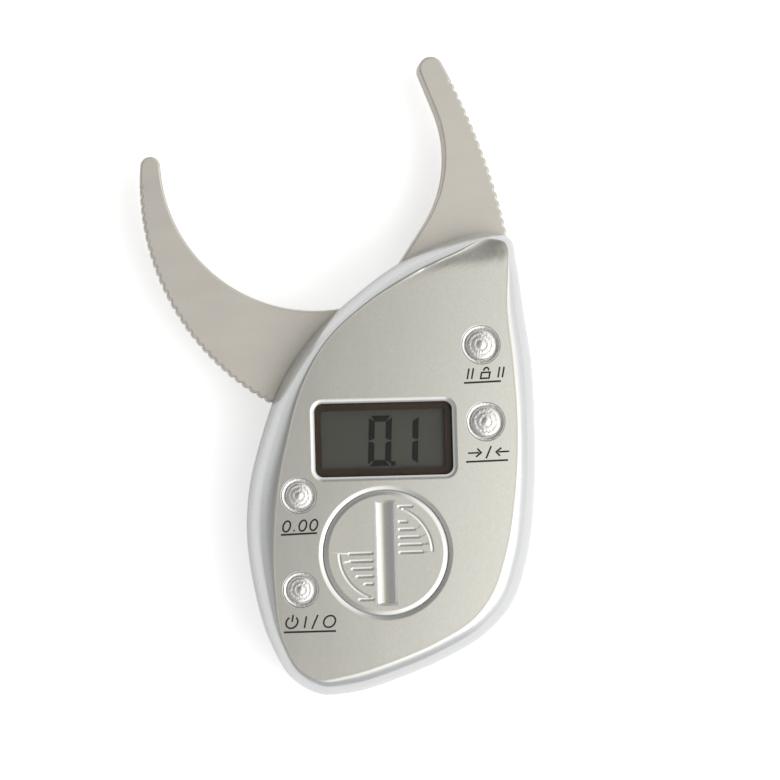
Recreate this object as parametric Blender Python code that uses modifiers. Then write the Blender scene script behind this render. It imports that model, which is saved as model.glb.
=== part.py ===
"""A digital skinfold caliper: two bow-shaped jaws, one fixed and one sprung, on a moulded housing.

The housing lies on its back. The origin is the moving jaw's pivot axis on the back face, +Y runs up
towards the jaw tips and +Z out of the face. Every length is in metres and every angle in degrees.
"""

import math

import bmesh
import bpy
from mathutils import Vector

# Whole object
CLEARANCE = 0.0003
OVERRUN = 0.002
BITE = 0.0003
WELD = 0.000001
FINE_STEPS = 36
ROUND_STEPS = 22
BUTTON_STEPS = 18
SMALL_STEPS = 11

# Housing, seen from the face. Places on it are shares of its width from the left and length from the foot
HOUSING_WIDTH = 0.0637
HOUSING_LENGTH = 0.1003
PIVOT_SHARES = (0.4584, 0.7149)
WALL = 0.0016
RIM_WIDTH = 0.0055
BACK_RIM_WIDTH = 0.0042
FACE_CROWN = 0.0006
# Each row is a share of the width from the left, of the length from the foot, and of the rim's width
OUTLINE_SHARES = (
    (0.930, 0.986, 0.50),
    (0.841, 1.000, 0.52),
    (0.702, 0.982, 0.64),
    (0.553, 0.942, 0.69),
    (0.389, 0.870, 0.54),
    (0.243, 0.785, 0.52),
    (0.126, 0.679, 0.74),
    (0.060, 0.570, 0.91),
    (0.010, 0.447, 1.02),
    (0.000, 0.375, 1.00),
    (0.022, 0.232, 0.71),
    (0.075, 0.112, 0.42),
    (0.141, 0.039, 0.46),
    (0.237, 0.003, 0.68),
    (0.333, 0.004, 0.80),
    (0.518, 0.035, 0.84),
    (0.658, 0.070, 0.85),
    (0.812, 0.125, 0.92),
    (0.903, 0.187, 1.06),
    (0.958, 0.281, 1.06),
    (0.991, 0.416, 0.98),
    (1.000, 0.575, 0.89),
    (0.994, 0.720, 0.93),
    (0.970, 0.839, 0.83),
    (0.950, 0.935, 0.66),
)
OUTLINE_STEPS = 2
# Height and inset of the moulded rim, from the parting line to the edge of the face
FRONT_RIM_SHARES = (
    (0.0, 0.0),
    (0.40, 0.03),
    (0.68, 0.19),
    (0.86, 0.46),
    (0.96, 0.76),
    (1.0, 1.0),
)
# Depth and inset of the back shell, from the parting line to the edge of the flat back
BACK_RIM_SHARES = (
    (0.0, 0.0),
    (0.45, 0.04),
    (0.76, 0.26),
    (0.94, 0.64),
    (1.0, 1.0),
)
FACE_RING_SHARES = (0.975, 0.92, 0.80, 0.45)
# The same for the insides, whose insets are added to the wall
FRONT_INSIDE_SHARES = (
    (0.80, 0.36),
    (0.50, 0.08),
    (0.0, 0.0),
)
BACK_INSIDE_SHARES = (
    (1.0, 0.43),
    (0.72, 0.12),
    (0.0, 0.0),
)
CEILING_SHARES = (0.80, 0.95)
# The soft hollow inside the lip at the face's upper right corner
HOLLOW_PLACE_SHARES = (0.816, 0.950)
HOLLOW_LENGTH = 0.0052
HOLLOW_WIDTH = 0.0024
HOLLOW_DEPTH = 0.0012

# Jaws. The place of a bow, back or tip is its centre, from the pivot and above the housing's top
JAW_THICKNESS = 0.006
JAW_CHAMFER = 0.0004
TOOTH_PITCH = 0.002
TOOTH_DEPTH = 0.0005
TOOTH_TOP_SHARES = (0.30, 0.78)
ARC_SPACING = 0.0028
MOVING_BOW_PLACE = (-0.01286, 0.01727)
MOVING_BOW_RADIUS = 0.03345
MOVING_BACK_PLACE = (0.00383, 0.01135)
MOVING_TIP_PLACE = (-0.0485, 0.0161)
MOVING_TIP_RADIUS = 0.0022
MOVING_BOW_ROOT = -80.0
MOVING_BACK_ROOT = -114.0
STOP_SPREAD = 16.0
FIXED_BOW_PLACE = (-0.0115, 0.0179)
FIXED_BOW_RADIUS = 0.0276
FIXED_BACK_PLACE = (-0.10654, -0.02694)
FIXED_TIP_PLACE = (0.0137, 0.0368)
FIXED_TIP_RADIUS = 0.00275
TOOTHLESS_TIP = 0.0046

# Fixed jaw's root inside the housing. It hangs from the housing's top and keeps clear of its right side
ROOT_BELOW_TOP = 0.0065
ROOT_FROM_RIGHT = 0.0061
ROOT_BELOW_SCREW = 0.0095
ROOT_LEFT_OF_SCREW = 0.0108
ROOT_WAIST_DROP = 0.0049
BOW_ROOT_LEFT = 0.0048
BOW_ROOT_DROP = 0.0007

# Pivot
HUB_RADIUS = 0.0095
SHOULDER_RADIUS = 0.0052
SPINDLE_RADIUS = 0.0030
BUSHING_WALL = 0.0012
WASHER_RADIUS = 0.0062
WASHER_THICKNESS = 0.0006
PIVOT_HEAD_RADIUS = 0.0024
PIVOT_HEAD_HEIGHT = 0.0012
PIVOT_SHANK_RADIUS = 0.0010
PIVOT_SHANK_FOOT = 0.0036

# Torsion spring that opens the jaws
SPRING_WIRE = 0.0007
SPRING_TURNS = 2.25
SPRING_PITCH = 0.00116
SPRING_SLACK = 0.0004
SPRING_LEG_RADIUS = 0.0115
SPRING_END_ANGLE = 242.0
SPRING_STEPS = 11
PEG_RADIUS = 0.0010
PEG_HEIGHT = 0.0013

# Rotary sensor, wiper on the jaw and track under the board
SENSOR_INNER = 0.0066
SENSOR_OUTER = 0.0092
SENSOR_THICKNESS = 0.0004
WIPER_FINGERS = 3
FINGER_WIDTH = 0.0016
FINGER_LENGTH = 0.0016

# Circuit board
BOARD_THICKNESS = 0.0012
BOARD_INSET = 0.0015
BOARD_HEAD = 0.0108
CHIP_FROM_WELL = 0.0021
CHIP_ABOVE_CELL = 0.0063
CHIP_RADIUS = 0.0036
CHIP_HEIGHT = 0.0012

# Display. It stands above the battery's well
WINDOW_MIDDLE_SHARE = 0.4647
WINDOW_GAP = 0.0009
WINDOW_WIDTH = 0.0299
WINDOW_HEIGHT = 0.0159
WINDOW_CORNER = 0.0018
WINDOW_BEVEL = 0.0008
VIEW_WIDTH = 0.0269
VIEW_HEIGHT = 0.0127
LENS_THICKNESS = 0.0009
DISPLAY_FRAME_MARGIN = 0.0008
DISPLAY_FRAME_WALL = 0.0008
DISPLAY_FRAME_TOP = 0.0008
DISPLAY_FRAME_CORNER = 0.0025
GLASS_THICKNESS = 0.0015
ZEBRA_HEIGHT = 0.0012
ZEBRA_WIDTH = 0.0016
ZEBRA_END = 0.0015

# Push buttons, two wider ones at the right of the display and two at the left of the battery's door
RIGHT_BUTTON_RADIUS = 0.0041
LEFT_BUTTON_RADIUS = 0.0037
HOLD_SHARES = (0.8038, 0.7517)
UNITS_SHARES = (0.8132, 0.5853)
ZERO_SHARES = (0.1711, 0.4357)
POWER_SHARES = (0.1695, 0.2343)
BUTTON_TRAVEL = 0.0006
BUTTON_RISE = 0.0007
BUTTON_BEVEL = 0.0006
BUTTON_WELL_WALL = 0.0012
BUTTON_WELL_DEPTH = 0.0031
BUTTON_FLANGE = 0.0008
BUTTON_FLANGE_THICKNESS = 0.0006
BUTTON_STEM_RADIUS = 0.0015
BUTTON_EDGE_ROUND = 0.0005
BUTTON_GROOVE_DEPTH = 0.0003
BUTTON_RING_SHARES = (0.86, 0.74, 0.62, 0.50)
BUTTON_DOME_SHARE = 0.6
DOME_RADIUS = 0.0026
DOME_HEIGHT = 0.0006

# Battery, its contacts and its door
CELL_SHARES = (0.4615, 0.3081)
CELL_RADIUS = 0.0100
CELL_THICKNESS = 0.0032
CELL_STEP = 0.0008
CONTACT_THICKNESS = 0.0003
CONTACT_LENGTH = 0.0130
CONTACT_WIDTH = 0.0040
CONTACT_TAB_HEIGHT = 0.0013
CONTACT_TAB_ANGLE = 60.0
DOOR_RADIUS = 0.0134
DOOR_THICKNESS = 0.0018
DOOR_SINK = 0.0002
DOOR_BEVEL = 0.0005
DOOR_SKIRT_WALL = 0.0010
LUG_REACH = 0.0015
LUG_THICKNESS = 0.0008
LUG_SPREAD = 15.0
LUG_NOTCH_MARGIN = 3.0
DOOR_TURN = 50.0
LEDGE_THICKNESS = 0.0010
WELL_WALL = 0.0012
SLOT_WIDTH = 0.0046
SLOT_LENGTH = 0.0228
SLOT_WALL = 0.0005
SLOT_BEVEL = 0.0004
SLOT_DEPTH = 0.0012
GRIP_GROOVES = 5
GRIP_PITCH = 0.00165
GRIP_GROOVE = 0.0006
GRIP_DEPTH = 0.0004
GRIP_RADIUS = 0.0083
GRIP_ARC_RADIUS = 0.0101
GRIP_ARC_WIDTH = 0.0006
GRIP_ARC_START = 2.0
GRIP_ARC_END = 67.0
GRIP_MARGIN = 0.0004

# Screws
CASE_SCREW_SHARES = ((0.816, 0.879), (0.772, 0.211), (0.247, 0.097), (0.140, 0.522))
CASE_BOSS_RADIUS = 0.0026
CASE_FOOT_RADIUS = 0.0033
CASE_SHANK_RADIUS = 0.0010
CASE_HEAD_RADIUS = 0.0021
CASE_HEAD_HEIGHT = 0.0012
CASE_HEAD_SEAT = 0.0026
CASE_SHANK_TOP = 0.0155
TOP_BOARD_SCREW_SHARE = 0.659
BOARD_SCREW_SHARES = ((0.193, 0.336), (0.760, 0.288))
BOARD_BOSS_RADIUS = 0.0019
BOARD_SHANK_RADIUS = 0.0007
BOARD_HEAD_RADIUS = 0.0015
BOARD_HEAD_HEIGHT = 0.0008
BOARD_SHANK_BITE = 0.0022
JAW_SCREW_FROM_LEFT = 0.0038
JAW_SCREW_BELOW_SHOULDER = 0.0031
JAW_SCREW_FROM_RIGHT = 0.0036
JAW_SCREW_ABOVE_FOOT = 0.0028
JAW_FOOT_RADIUS = 0.0024
JAW_SHANK_RADIUS = 0.0009
JAW_HEAD_RADIUS = 0.0018
JAW_HEAD_HEIGHT = 0.0010
JAW_SHANK_FOOT = 0.0026
DRIVE_WIDTH = 0.0005
DRIVE_DEPTH = 0.0005
DRIVE_REACH_SHARE = 0.62
DRIVE_END_SHARE = 0.6

# Heights, worked up from the flat back
SPRING_BOTTOM = WALL + CLEARANCE
JAW_BOTTOM = SPRING_BOTTOM + SPRING_TURNS * SPRING_PITCH + SPRING_WIRE + CLEARANCE
JAW_TOP = JAW_BOTTOM + JAW_THICKNESS
PARTING = (JAW_BOTTOM + JAW_TOP) / 2
WIPER_BOTTOM = JAW_TOP + CLEARANCE
TRACK_BOTTOM = WIPER_BOTTOM + SENSOR_THICKNESS + CLEARANCE
BOARD_BOTTOM = TRACK_BOTTOM + SENSOR_THICKNESS + CLEARANCE
BOARD_TOP = BOARD_BOTTOM + BOARD_THICKNESS
DECK = BOARD_TOP + CLEARANCE
CELL_BOTTOM = DECK + CONTACT_THICKNESS + CLEARANCE
DOOR_BOTTOM = CELL_BOTTOM + CELL_THICKNESS + CLEARANCE
DOOR_TOP = DOOR_BOTTOM + DOOR_THICKNESS
FACE_TOP = DOOR_TOP + DOOR_SINK
RIB_TOP = FACE_TOP - WALL + BITE
RECESS_FLOOR = DOOR_BOTTOM - CLEARANCE
LEDGE_BOTTOM = RECESS_FLOOR - LEDGE_THICKNESS
LUG_TOP = LEDGE_BOTTOM - CLEARANCE
LUG_BOTTOM = LUG_TOP - LUG_THICKNESS
GLASS_BOTTOM = DECK + ZEBRA_HEIGHT + CLEARANCE
GLASS_TOP = GLASS_BOTTOM + GLASS_THICKNESS
DISPLAY_TOP = GLASS_TOP + CLEARANCE + DISPLAY_FRAME_TOP
LENS_BOTTOM = DISPLAY_TOP + CLEARANCE
BUTTON_WELL_BOTTOM = FACE_TOP - BUTTON_WELL_DEPTH
BUTTON_FLANGE_TOP = BUTTON_WELL_BOTTOM - CLEARANCE
BUTTON_STEM_BOTTOM = DECK + DOME_HEIGHT + CLEARANCE + BUTTON_TRAVEL
SKIRT_RADIUS = CELL_RADIUS + CLEARANCE + DOOR_SKIRT_WALL
HOLE_RADIUS = SKIRT_RADIUS + CLEARANCE
LUG_RADIUS = SKIRT_RADIUS + LUG_REACH
CAVITY_RADIUS = LUG_RADIUS + CLEARANCE
RECESS_RADIUS = DOOR_RADIUS + CLEARANCE
WELL_RADIUS = RECESS_RADIUS + WELL_WALL
SPRING_RADIUS = SHOULDER_RADIUS + SPRING_SLACK + SPRING_WIRE / 2 + CLEARANCE


# Places on the housing


def on_housing(across, along):
    """The point at a share of the housing's width from the left and of its length from the foot."""
    return (
        (across - PIVOT_SHARES[0]) * HOUSING_WIDTH,
        (along - PIVOT_SHARES[1]) * HOUSING_LENGTH,
    )


MIDDLE = Vector(on_housing(0.5, 0.5))
HOUSING_RIGHT, HOUSING_HEAD = on_housing(1, 1)
HOLLOW_PLACE = on_housing(*HOLLOW_PLACE_SHARES)
CASE_SCREWS = [on_housing(*shares) for shares in CASE_SCREW_SHARES]
BUTTONS = {
    "hold": (on_housing(*HOLD_SHARES), RIGHT_BUTTON_RADIUS),
    "units": (on_housing(*UNITS_SHARES), RIGHT_BUTTON_RADIUS),
    "zero": (on_housing(*ZERO_SHARES), LEFT_BUTTON_RADIUS),
    "power": (on_housing(*POWER_SHARES), LEFT_BUTTON_RADIUS),
}
CELL_CENTRE = on_housing(*CELL_SHARES)
FRAME_WIDTH = WINDOW_WIDTH + 2 * DISPLAY_FRAME_MARGIN
FRAME_HEIGHT = WINDOW_HEIGHT + 2 * DISPLAY_FRAME_MARGIN
WINDOW_CENTRE = (
    on_housing(WINDOW_MIDDLE_SHARE, 0)[0],
    CELL_CENTRE[1] + WELL_RADIUS + WINDOW_GAP + FRAME_HEIGHT / 2,
)
TOP_BOARD_SCREW = (
    on_housing(TOP_BOARD_SCREW_SHARE, 0)[0],
    WINDOW_CENTRE[1] + FRAME_HEIGHT / 2 + WINDOW_GAP + BOARD_BOSS_RADIUS,
)
BOARD_SCREWS = [TOP_BOARD_SCREW, *(on_housing(*shares) for shares in BOARD_SCREW_SHARES)]
CHIP_PLACE = (
    CELL_CENTRE[0] + WELL_RADIUS + CHIP_FROM_WELL + CHIP_RADIUS,
    CELL_CENTRE[1] + CHIP_ABOVE_CELL,
)


def above_top(across, rise):
    return (across, HOUSING_HEAD + rise)


MOVING_BOW_CENTRE = above_top(*MOVING_BOW_PLACE)
MOVING_BACK_CENTRE = above_top(*MOVING_BACK_PLACE)
MOVING_TIP_CENTRE = above_top(*MOVING_TIP_PLACE)
FIXED_BOW_CENTRE = above_top(*FIXED_BOW_PLACE)
FIXED_BACK_CENTRE = above_top(*FIXED_BACK_PLACE)
FIXED_TIP_CENTRE = above_top(*FIXED_TIP_PLACE)
ROOT_SHOULDER = HOUSING_HEAD - ROOT_BELOW_TOP
ROOT_RIGHT = HOUSING_RIGHT - ROOT_FROM_RIGHT
ROOT_LEFT = CASE_SCREWS[0][0] - ROOT_LEFT_OF_SCREW
ROOT_FOOT = CASE_SCREWS[0][1] - ROOT_BELOW_SCREW
ROOT_WAIST = ROOT_SHOULDER - ROOT_WAIST_DROP
FIXED_BOW_ROOT = (BOW_ROOT_LEFT, ROOT_SHOULDER - BOW_ROOT_DROP)
JAW_SCREWS = (
    (ROOT_LEFT + JAW_SCREW_FROM_LEFT, ROOT_SHOULDER - JAW_SCREW_BELOW_SHOULDER),
    (ROOT_RIGHT - JAW_SCREW_FROM_RIGHT, ROOT_FOOT + JAW_SCREW_ABOVE_FOOT),
)


# Scene and materials


def clear_scene():
    for thing in list(bpy.data.objects):
        bpy.data.objects.remove(thing, do_unlink=True)


def new_collection(name):
    collection = bpy.data.collections.new(name)
    bpy.context.scene.collection.children.link(collection)
    return collection


def plain_material(name, colour, roughness, metallic):
    material = bpy.data.materials.new(name)
    material.use_nodes = True
    shader = material.node_tree.nodes["Principled BSDF"]
    shader.inputs["Base Color"].default_value = (*colour, 1.0)
    shader.inputs["Roughness"].default_value = roughness
    shader.inputs["Metallic"].default_value = metallic
    material.diffuse_color = (*colour, 1.0)
    return material


clear_scene()
PARTS = new_collection("skinfold_caliper")
CUTTERS = new_collection("cutters")


# Object helpers


def add_object(name, mesh, finish=None, place=(0, 0, 0)):
    """A part when it has a finish, or else a hidden shape that others are cut or joined with."""
    piece = bpy.data.objects.new(name, mesh)
    piece.location = place
    if finish is None:
        CUTTERS.objects.link(piece)
        piece.hide_render = True
        piece.display_type = "WIRE"
    else:
        PARTS.objects.link(piece)
        mesh.materials.append(plain_material(name, *finish))
    return piece


def mesh_of(bm, name):
    mesh = bpy.data.meshes.new(name)
    bm.to_mesh(mesh)
    bm.free()
    mesh.shade_smooth()
    mesh.set_sharp_from_angle(angle=math.radians(30))
    return mesh


def loft(name, rings, finish=None, first_point=None, last_point=None):
    """A skin through rings of as many points each. Either end is a fan to its point or else flat."""
    bm = bmesh.new()
    rows = [[bm.verts.new(point) for point in ring] for ring in rings]
    for lower, upper in zip(rows, rows[1:]):
        for i in range(len(lower)):
            bm.faces.new((lower[i - 1], lower[i], upper[i], upper[i - 1]))
    for row, point in ((rows[0][::-1], first_point), (rows[-1], last_point)):
        if point is None:
            bm.faces.new(row)
            continue
        middle = bm.verts.new(point)
        for i in range(len(row)):
            bm.faces.new((row[i - 1], row[i], middle))
    return add_object(name, mesh_of(bm, name), finish)


def turned(name, profile, finish=None, place=(0, 0, 0), steps=ROUND_STEPS, ring=False):
    """A turned shape. The profile's (radius, height) points run down its outer side."""
    bm = bmesh.new()
    points = [bm.verts.new((radius, 0, height)) for radius, height in profile]
    for first, second in zip(points, points[1:]):
        bm.edges.new((first, second))
    if ring:
        bm.edges.new((points[-1], points[0]))
    piece = add_object(name, mesh_of(bm, name), finish, place)
    screw = piece.modifiers.new("turn", "SCREW")
    screw.steps = steps
    screw.render_steps = steps
    screw.use_merge_vertices = True
    screw.merge_threshold = WELD
    screw.use_smooth_shade = True
    return piece


def rod(name, radius, bottom, top, finish=None, place=(0, 0), steps=ROUND_STEPS):
    profile = ((0, top), (radius, top), (radius, bottom), (0, bottom))
    return turned(name, profile, finish, (*place, 0), steps)


def pin(name, radius, bottom, top, place=(0, 0)):
    return rod(name, radius, bottom, top, place=place, steps=SMALL_STEPS)


def tube(name, inner, outer, bottom, top, finish=None, place=(0, 0), steps=ROUND_STEPS):
    profile = ((inner, top), (outer, top), (outer, bottom), (inner, bottom))
    return turned(name, profile, finish, (*place, 0), steps, ring=True)


def solid_from_curve(piece):
    """The curve as one welded mesh, in the same place and collection."""
    mesh = bpy.data.meshes.new_from_object(piece)
    bm = bmesh.new()
    bm.from_mesh(mesh)
    bmesh.ops.remove_doubles(bm, verts=bm.verts, dist=WELD)
    bmesh.ops.recalc_face_normals(bm, faces=bm.faces)
    bm.to_mesh(mesh)
    bm.free()
    mesh.shade_smooth()
    mesh.set_sharp_from_angle(angle=math.radians(30))
    name = piece.name
    solid = bpy.data.objects.new(name, mesh)
    solid.location = piece.location
    solid.hide_render = piece.hide_render
    solid.display_type = piece.display_type
    for collection in piece.users_collection:
        collection.objects.link(solid)
    bpy.data.objects.remove(piece)
    solid.name = name
    return solid


def plate(name, outlines, bottom, top, finish=None, place=(0, 0), chamfer=0.0):
    """A flat plate whose (x, y) outlines are its edge and then any holes, chamfered at both faces."""
    curve = bpy.data.curves.new(name, "CURVE")
    curve.dimensions = "2D"
    curve.fill_mode = "BOTH"
    curve.extrude = (top - bottom) / 2 - chamfer
    curve.bevel_depth = chamfer
    curve.bevel_resolution = 0
    curve.offset = -chamfer
    for outline in outlines:
        spline = curve.splines.new("POLY")
        spline.points.add(len(outline) - 1)
        for point, (x, y) in zip(spline.points, outline):
            point.co = (x, y, 0, 1)
        spline.use_cyclic_u = True
    piece = add_object(name, curve, finish, (*place, (top + bottom) / 2))
    return solid_from_curve(piece)


def boolean(piece, others, operation, name):
    """One Boolean with all the other shapes at once, which are kept in a collection of their own."""
    group = bpy.data.collections.new(f"{piece.name}_{name}")
    CUTTERS.children.link(group)
    for other in others:
        group.objects.link(other)
        if other.name in CUTTERS.objects:
            CUTTERS.objects.unlink(other)
    change = piece.modifiers.new(name, "BOOLEAN")
    change.operation = operation
    change.operand_type = "COLLECTION"
    change.collection = group
    change.solver = "EXACT"


def cut(piece, *others):
    boolean(piece, others, "DIFFERENCE", "cuts")


def join(piece, *others):
    boolean(piece, others, "UNION", "additions")


# Plane geometry


def polar(centre, radius, angle):
    return (
        centre[0] + radius * math.cos(math.radians(angle)),
        centre[1] + radius * math.sin(math.radians(angle)),
    )


def heading(start, end):
    return math.degrees(math.atan2(end[1] - start[1], end[0] - start[0]))


def arc(centre, radius, start, end, steps):
    """Points from one angle to the other, both included."""
    return [polar(centre, radius, start + (end - start) * i / steps) for i in range(steps + 1)]


def arc_steps(radius, start, end):
    return max(3, round(radius * math.radians(abs(end - start)) / ARC_SPACING))


def rounded_rectangle(width, height, corner, corner_steps=4):
    points = []
    for turn, (across, along) in enumerate(((1, 1), (-1, 1), (-1, -1), (1, -1))):
        centre = (across * (width / 2 - corner), along * (height / 2 - corner))
        points += arc(centre, corner, 90 * turn, 90 * turn + 90, corner_steps)
    return points


def ring_sector(inner, outer, middle, spread, steps=6):
    return arc((0, 0), outer, middle - spread, middle + spread, steps) + arc(
        (0, 0), inner, middle + spread, middle - spread, steps
    )


def smooth_loop(points, steps):
    """A closed curve through all points, with slopes weighted by the spans on either side."""
    loop = []
    count = len(points)
    for i in range(count):
        before, start, end, after = (points[(i + k) % count] for k in (-1, 0, 1, 2))
        spans = [(b.xy - a.xy).length for a, b in ((before, start), (start, end), (end, after))]
        leave = (start - before) * (spans[1] / spans[0]) + (end - start) * (spans[0] / spans[1])
        reach = (end - start) * (spans[2] / spans[1]) + (after - end) * (spans[1] / spans[2])
        leave *= spans[1] / (spans[0] + spans[1])
        reach *= spans[1] / (spans[1] + spans[2])
        for k in range(steps):
            t = k / steps
            loop.append(
                start * (1 + t * t * (2 * t - 3))
                + leave * (t * (1 - t) * (1 - t))
                + end * (t * t * (3 - 2 * t))
                + reach * (t * t * (t - 1))
            )
    return loop


# Housing outline


def housing_loop():
    """Points of the silhouette, counterclockwise from the front, with the rim's width as third value."""
    points = [
        Vector((*on_housing(across, along), rim * RIM_WIDTH))
        for across, along, rim in OUTLINE_SHARES
    ]
    return smooth_loop(points, OUTLINE_STEPS)


def inward(i):
    """The unit direction into the housing, square to the silhouette."""
    along = LOOP[(i + 1) % len(LOOP)].xy - LOOP[i - 1].xy
    return Vector((-along.y, along.x)).normalized()


LOOP = housing_loop()
INWARD = [inward(i) for i in range(len(LOOP))]
FACE_EDGE = [point.xy + inner * point.z for point, inner in zip(LOOP, INWARD)]


def face_height(x, y):
    across = (x - MIDDLE.x) / (HOUSING_WIDTH / 2)
    along = (y - MIDDLE.y) / (HOUSING_LENGTH / 2)
    return FACE_TOP - FACE_CROWN * (across * across + along * along)


def hollow(x, y):
    across = (x - HOLLOW_PLACE[0]) / HOLLOW_LENGTH
    along = (y - HOLLOW_PLACE[1]) / HOLLOW_WIDTH
    return HOLLOW_DEPTH * math.exp(-(across * across + along * along) / 2)


# Jaw outlines


def toothed_back(centre, radius, start, end):
    """The outer edge from the tip to the root: a plain stretch, then saw teeth cut into the arc."""
    side = 1 if end > start else -1
    plain = start + side * math.degrees(TOOTHLESS_TIP / radius)
    points = arc(centre, radius, start, plain, 2)
    pitch = side * math.degrees(TOOTH_PITCH / radius)
    for i in range(int((end - plain) / pitch)):
        root = plain + i * pitch
        points.append(polar(centre, radius - TOOTH_DEPTH, root + pitch * TOOTH_TOP_SHARES[0] / 3))
        points.append(polar(centre, radius, root + pitch * TOOTH_TOP_SHARES[0]))
        points.append(polar(centre, radius, root + pitch * TOOTH_TOP_SHARES[1]))
    return points


def blade(bow_centre, bow_radius, bow_start, back_centre, back_end, tip_centre, tip_radius, turn):
    """Points from the bow's root round the tip to the back's root. turn is 1 where the bow runs up
    counterclockwise and -1 where it runs up clockwise."""
    reach = math.dist(tip_centre, bow_centre)
    lean = math.degrees(math.acos(min(1, (bow_radius + tip_radius) / reach)))
    bow_end = heading(bow_centre, tip_centre) % 360 - turn * lean
    if turn > 0:
        bow_end -= 360 * (bow_end > 180)
        bow_start -= 360 * (bow_start > 180)
    else:
        bow_start %= 360
    points = arc(bow_centre, bow_radius, bow_start, bow_end, arc_steps(bow_radius, bow_start, bow_end))
    back_radius = math.dist(tip_centre, back_centre) + tip_radius
    tip_end = heading(back_centre, tip_centre)
    tip_start = bow_end + 180
    if turn < 0:
        tip_start -= 360
    points += arc(tip_centre, tip_radius, tip_start, tip_end, 8)[1:-1]
    return points + toothed_back(back_centre, back_radius, tip_end, back_end % 360)


def tangent_angle(point, radius, side):
    """Where a line from the point touches a circle about the origin, on the side asked for."""
    lean = math.degrees(math.acos(radius / math.hypot(*point)))
    return heading((0, 0), point) + side * lean


def moving_outline():
    edge = blade(
        MOVING_BOW_CENTRE,
        MOVING_BOW_RADIUS,
        MOVING_BOW_ROOT,
        MOVING_BACK_CENTRE,
        MOVING_BACK_ROOT,
        MOVING_TIP_CENTRE,
        MOVING_TIP_RADIUS,
        -1,
    )
    low = tangent_angle(edge[-1], HUB_RADIUS, 1) % 360
    high = tangent_angle(edge[0], HUB_RADIUS, -1) % 360 + 360
    return edge + arc((0, 0), HUB_RADIUS, low, high, 14)


def fixed_outline():
    away = math.dist(FIXED_BOW_ROOT, FIXED_BOW_CENTRE)
    lean = math.degrees(math.acos(FIXED_BOW_RADIUS / away))
    bow_start = heading(FIXED_BOW_CENTRE, FIXED_BOW_ROOT) + lean
    back_radius = math.dist(FIXED_TIP_CENTRE, FIXED_BACK_CENTRE) + FIXED_TIP_RADIUS
    back_end = math.degrees(math.asin((ROOT_SHOULDER - FIXED_BACK_CENTRE[1]) / back_radius))
    edge = blade(
        FIXED_BOW_CENTRE,
        FIXED_BOW_RADIUS,
        bow_start,
        FIXED_BACK_CENTRE,
        back_end,
        FIXED_TIP_CENTRE,
        FIXED_TIP_RADIUS,
        1,
    )
    root = [
        (edge[-1][0], ROOT_SHOULDER),
        (ROOT_RIGHT, ROOT_SHOULDER),
        (ROOT_RIGHT, ROOT_FOOT),
        (ROOT_LEFT, ROOT_FOOT),
        (ROOT_LEFT, ROOT_WAIST),
        FIXED_BOW_ROOT,
    ]
    return edge + root


# Shapes that both shells share


def jaw_slot():
    """The gap in both shells for the jaws, from the open stop round the top to the fixed jaw."""
    back_radius = (
        math.dist(MOVING_TIP_CENTRE, MOVING_BACK_CENTRE) + MOVING_TIP_RADIUS + CLEARANCE
    )
    stop = arc(MOVING_BACK_CENTRE, back_radius, MOVING_BACK_ROOT, MOVING_BACK_ROOT - STOP_SPREAD, 2)
    far = HOUSING_LENGTH
    right = ROOT_SHOULDER - CLEARANCE
    outline = [
        (0, 0),
        (ROOT_LEFT, right),
        (far, right),
        (far, far),
        (-far, far),
        (-far, stop[-1][1]),
        *reversed(stop),
    ]
    return plate("jaw_slot", [outline], JAW_BOTTOM - CLEARANCE, JAW_TOP + CLEARANCE)


JAW_SLOT = jaw_slot()


def rim_ring(rim, depth, height_of):
    """A ring inside the silhouette, by a share of the rim's width and then by the depth given."""
    ring = []
    for point, inner, edge in zip(LOOP, INWARD, FACE_EDGE):
        place = point.xy + inner * (point.z * rim + depth)
        ring.append((*place, height_of(edge)))
    return ring


def face_ring(share, depth):
    """A ring on the face, or below it by the depth given, at a share of the way to its edge."""
    ring = []
    for edge in FACE_EDGE:
        place = MIDDLE + (edge - MIDDLE) * share
        ring.append((*place, face_height(*place) - hollow(*place) - depth))
    return ring


def front_rings():
    """From the middle of the ceiling down to the parting line, then up the rim and over the face."""
    foot = PARTING + CLEARANCE / 2
    rings = [face_ring(share, WALL) for share in CEILING_SHARES]
    for shares, depth in ((FRONT_INSIDE_SHARES, WALL), (FRONT_RIM_SHARES, 0)):
        for rise, rim in shares:
            rings.append(
                rim_ring(rim, depth, lambda edge: foot + rise * (face_height(*edge) - foot))
            )
    return rings + [face_ring(share, 0) for share in FACE_RING_SHARES]


def back_rings():
    """From the floor up to the parting line, then down the outside to the flat back."""
    top = PARTING - CLEARANCE / 2
    rings = []
    for fall, rim in BACK_INSIDE_SHARES:
        rings.append((WALL + rim * BACK_RIM_WIDTH, WALL + (top - WALL) * (1 - fall)))
    for fall, rim in BACK_RIM_SHARES:
        rings.append((rim * BACK_RIM_WIDTH, top * (1 - fall)))
    return [rim_ring(0, depth, lambda edge: height)[::-1] for depth, height in rings]


# Finishes, as colour, roughness and metallic

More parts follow.
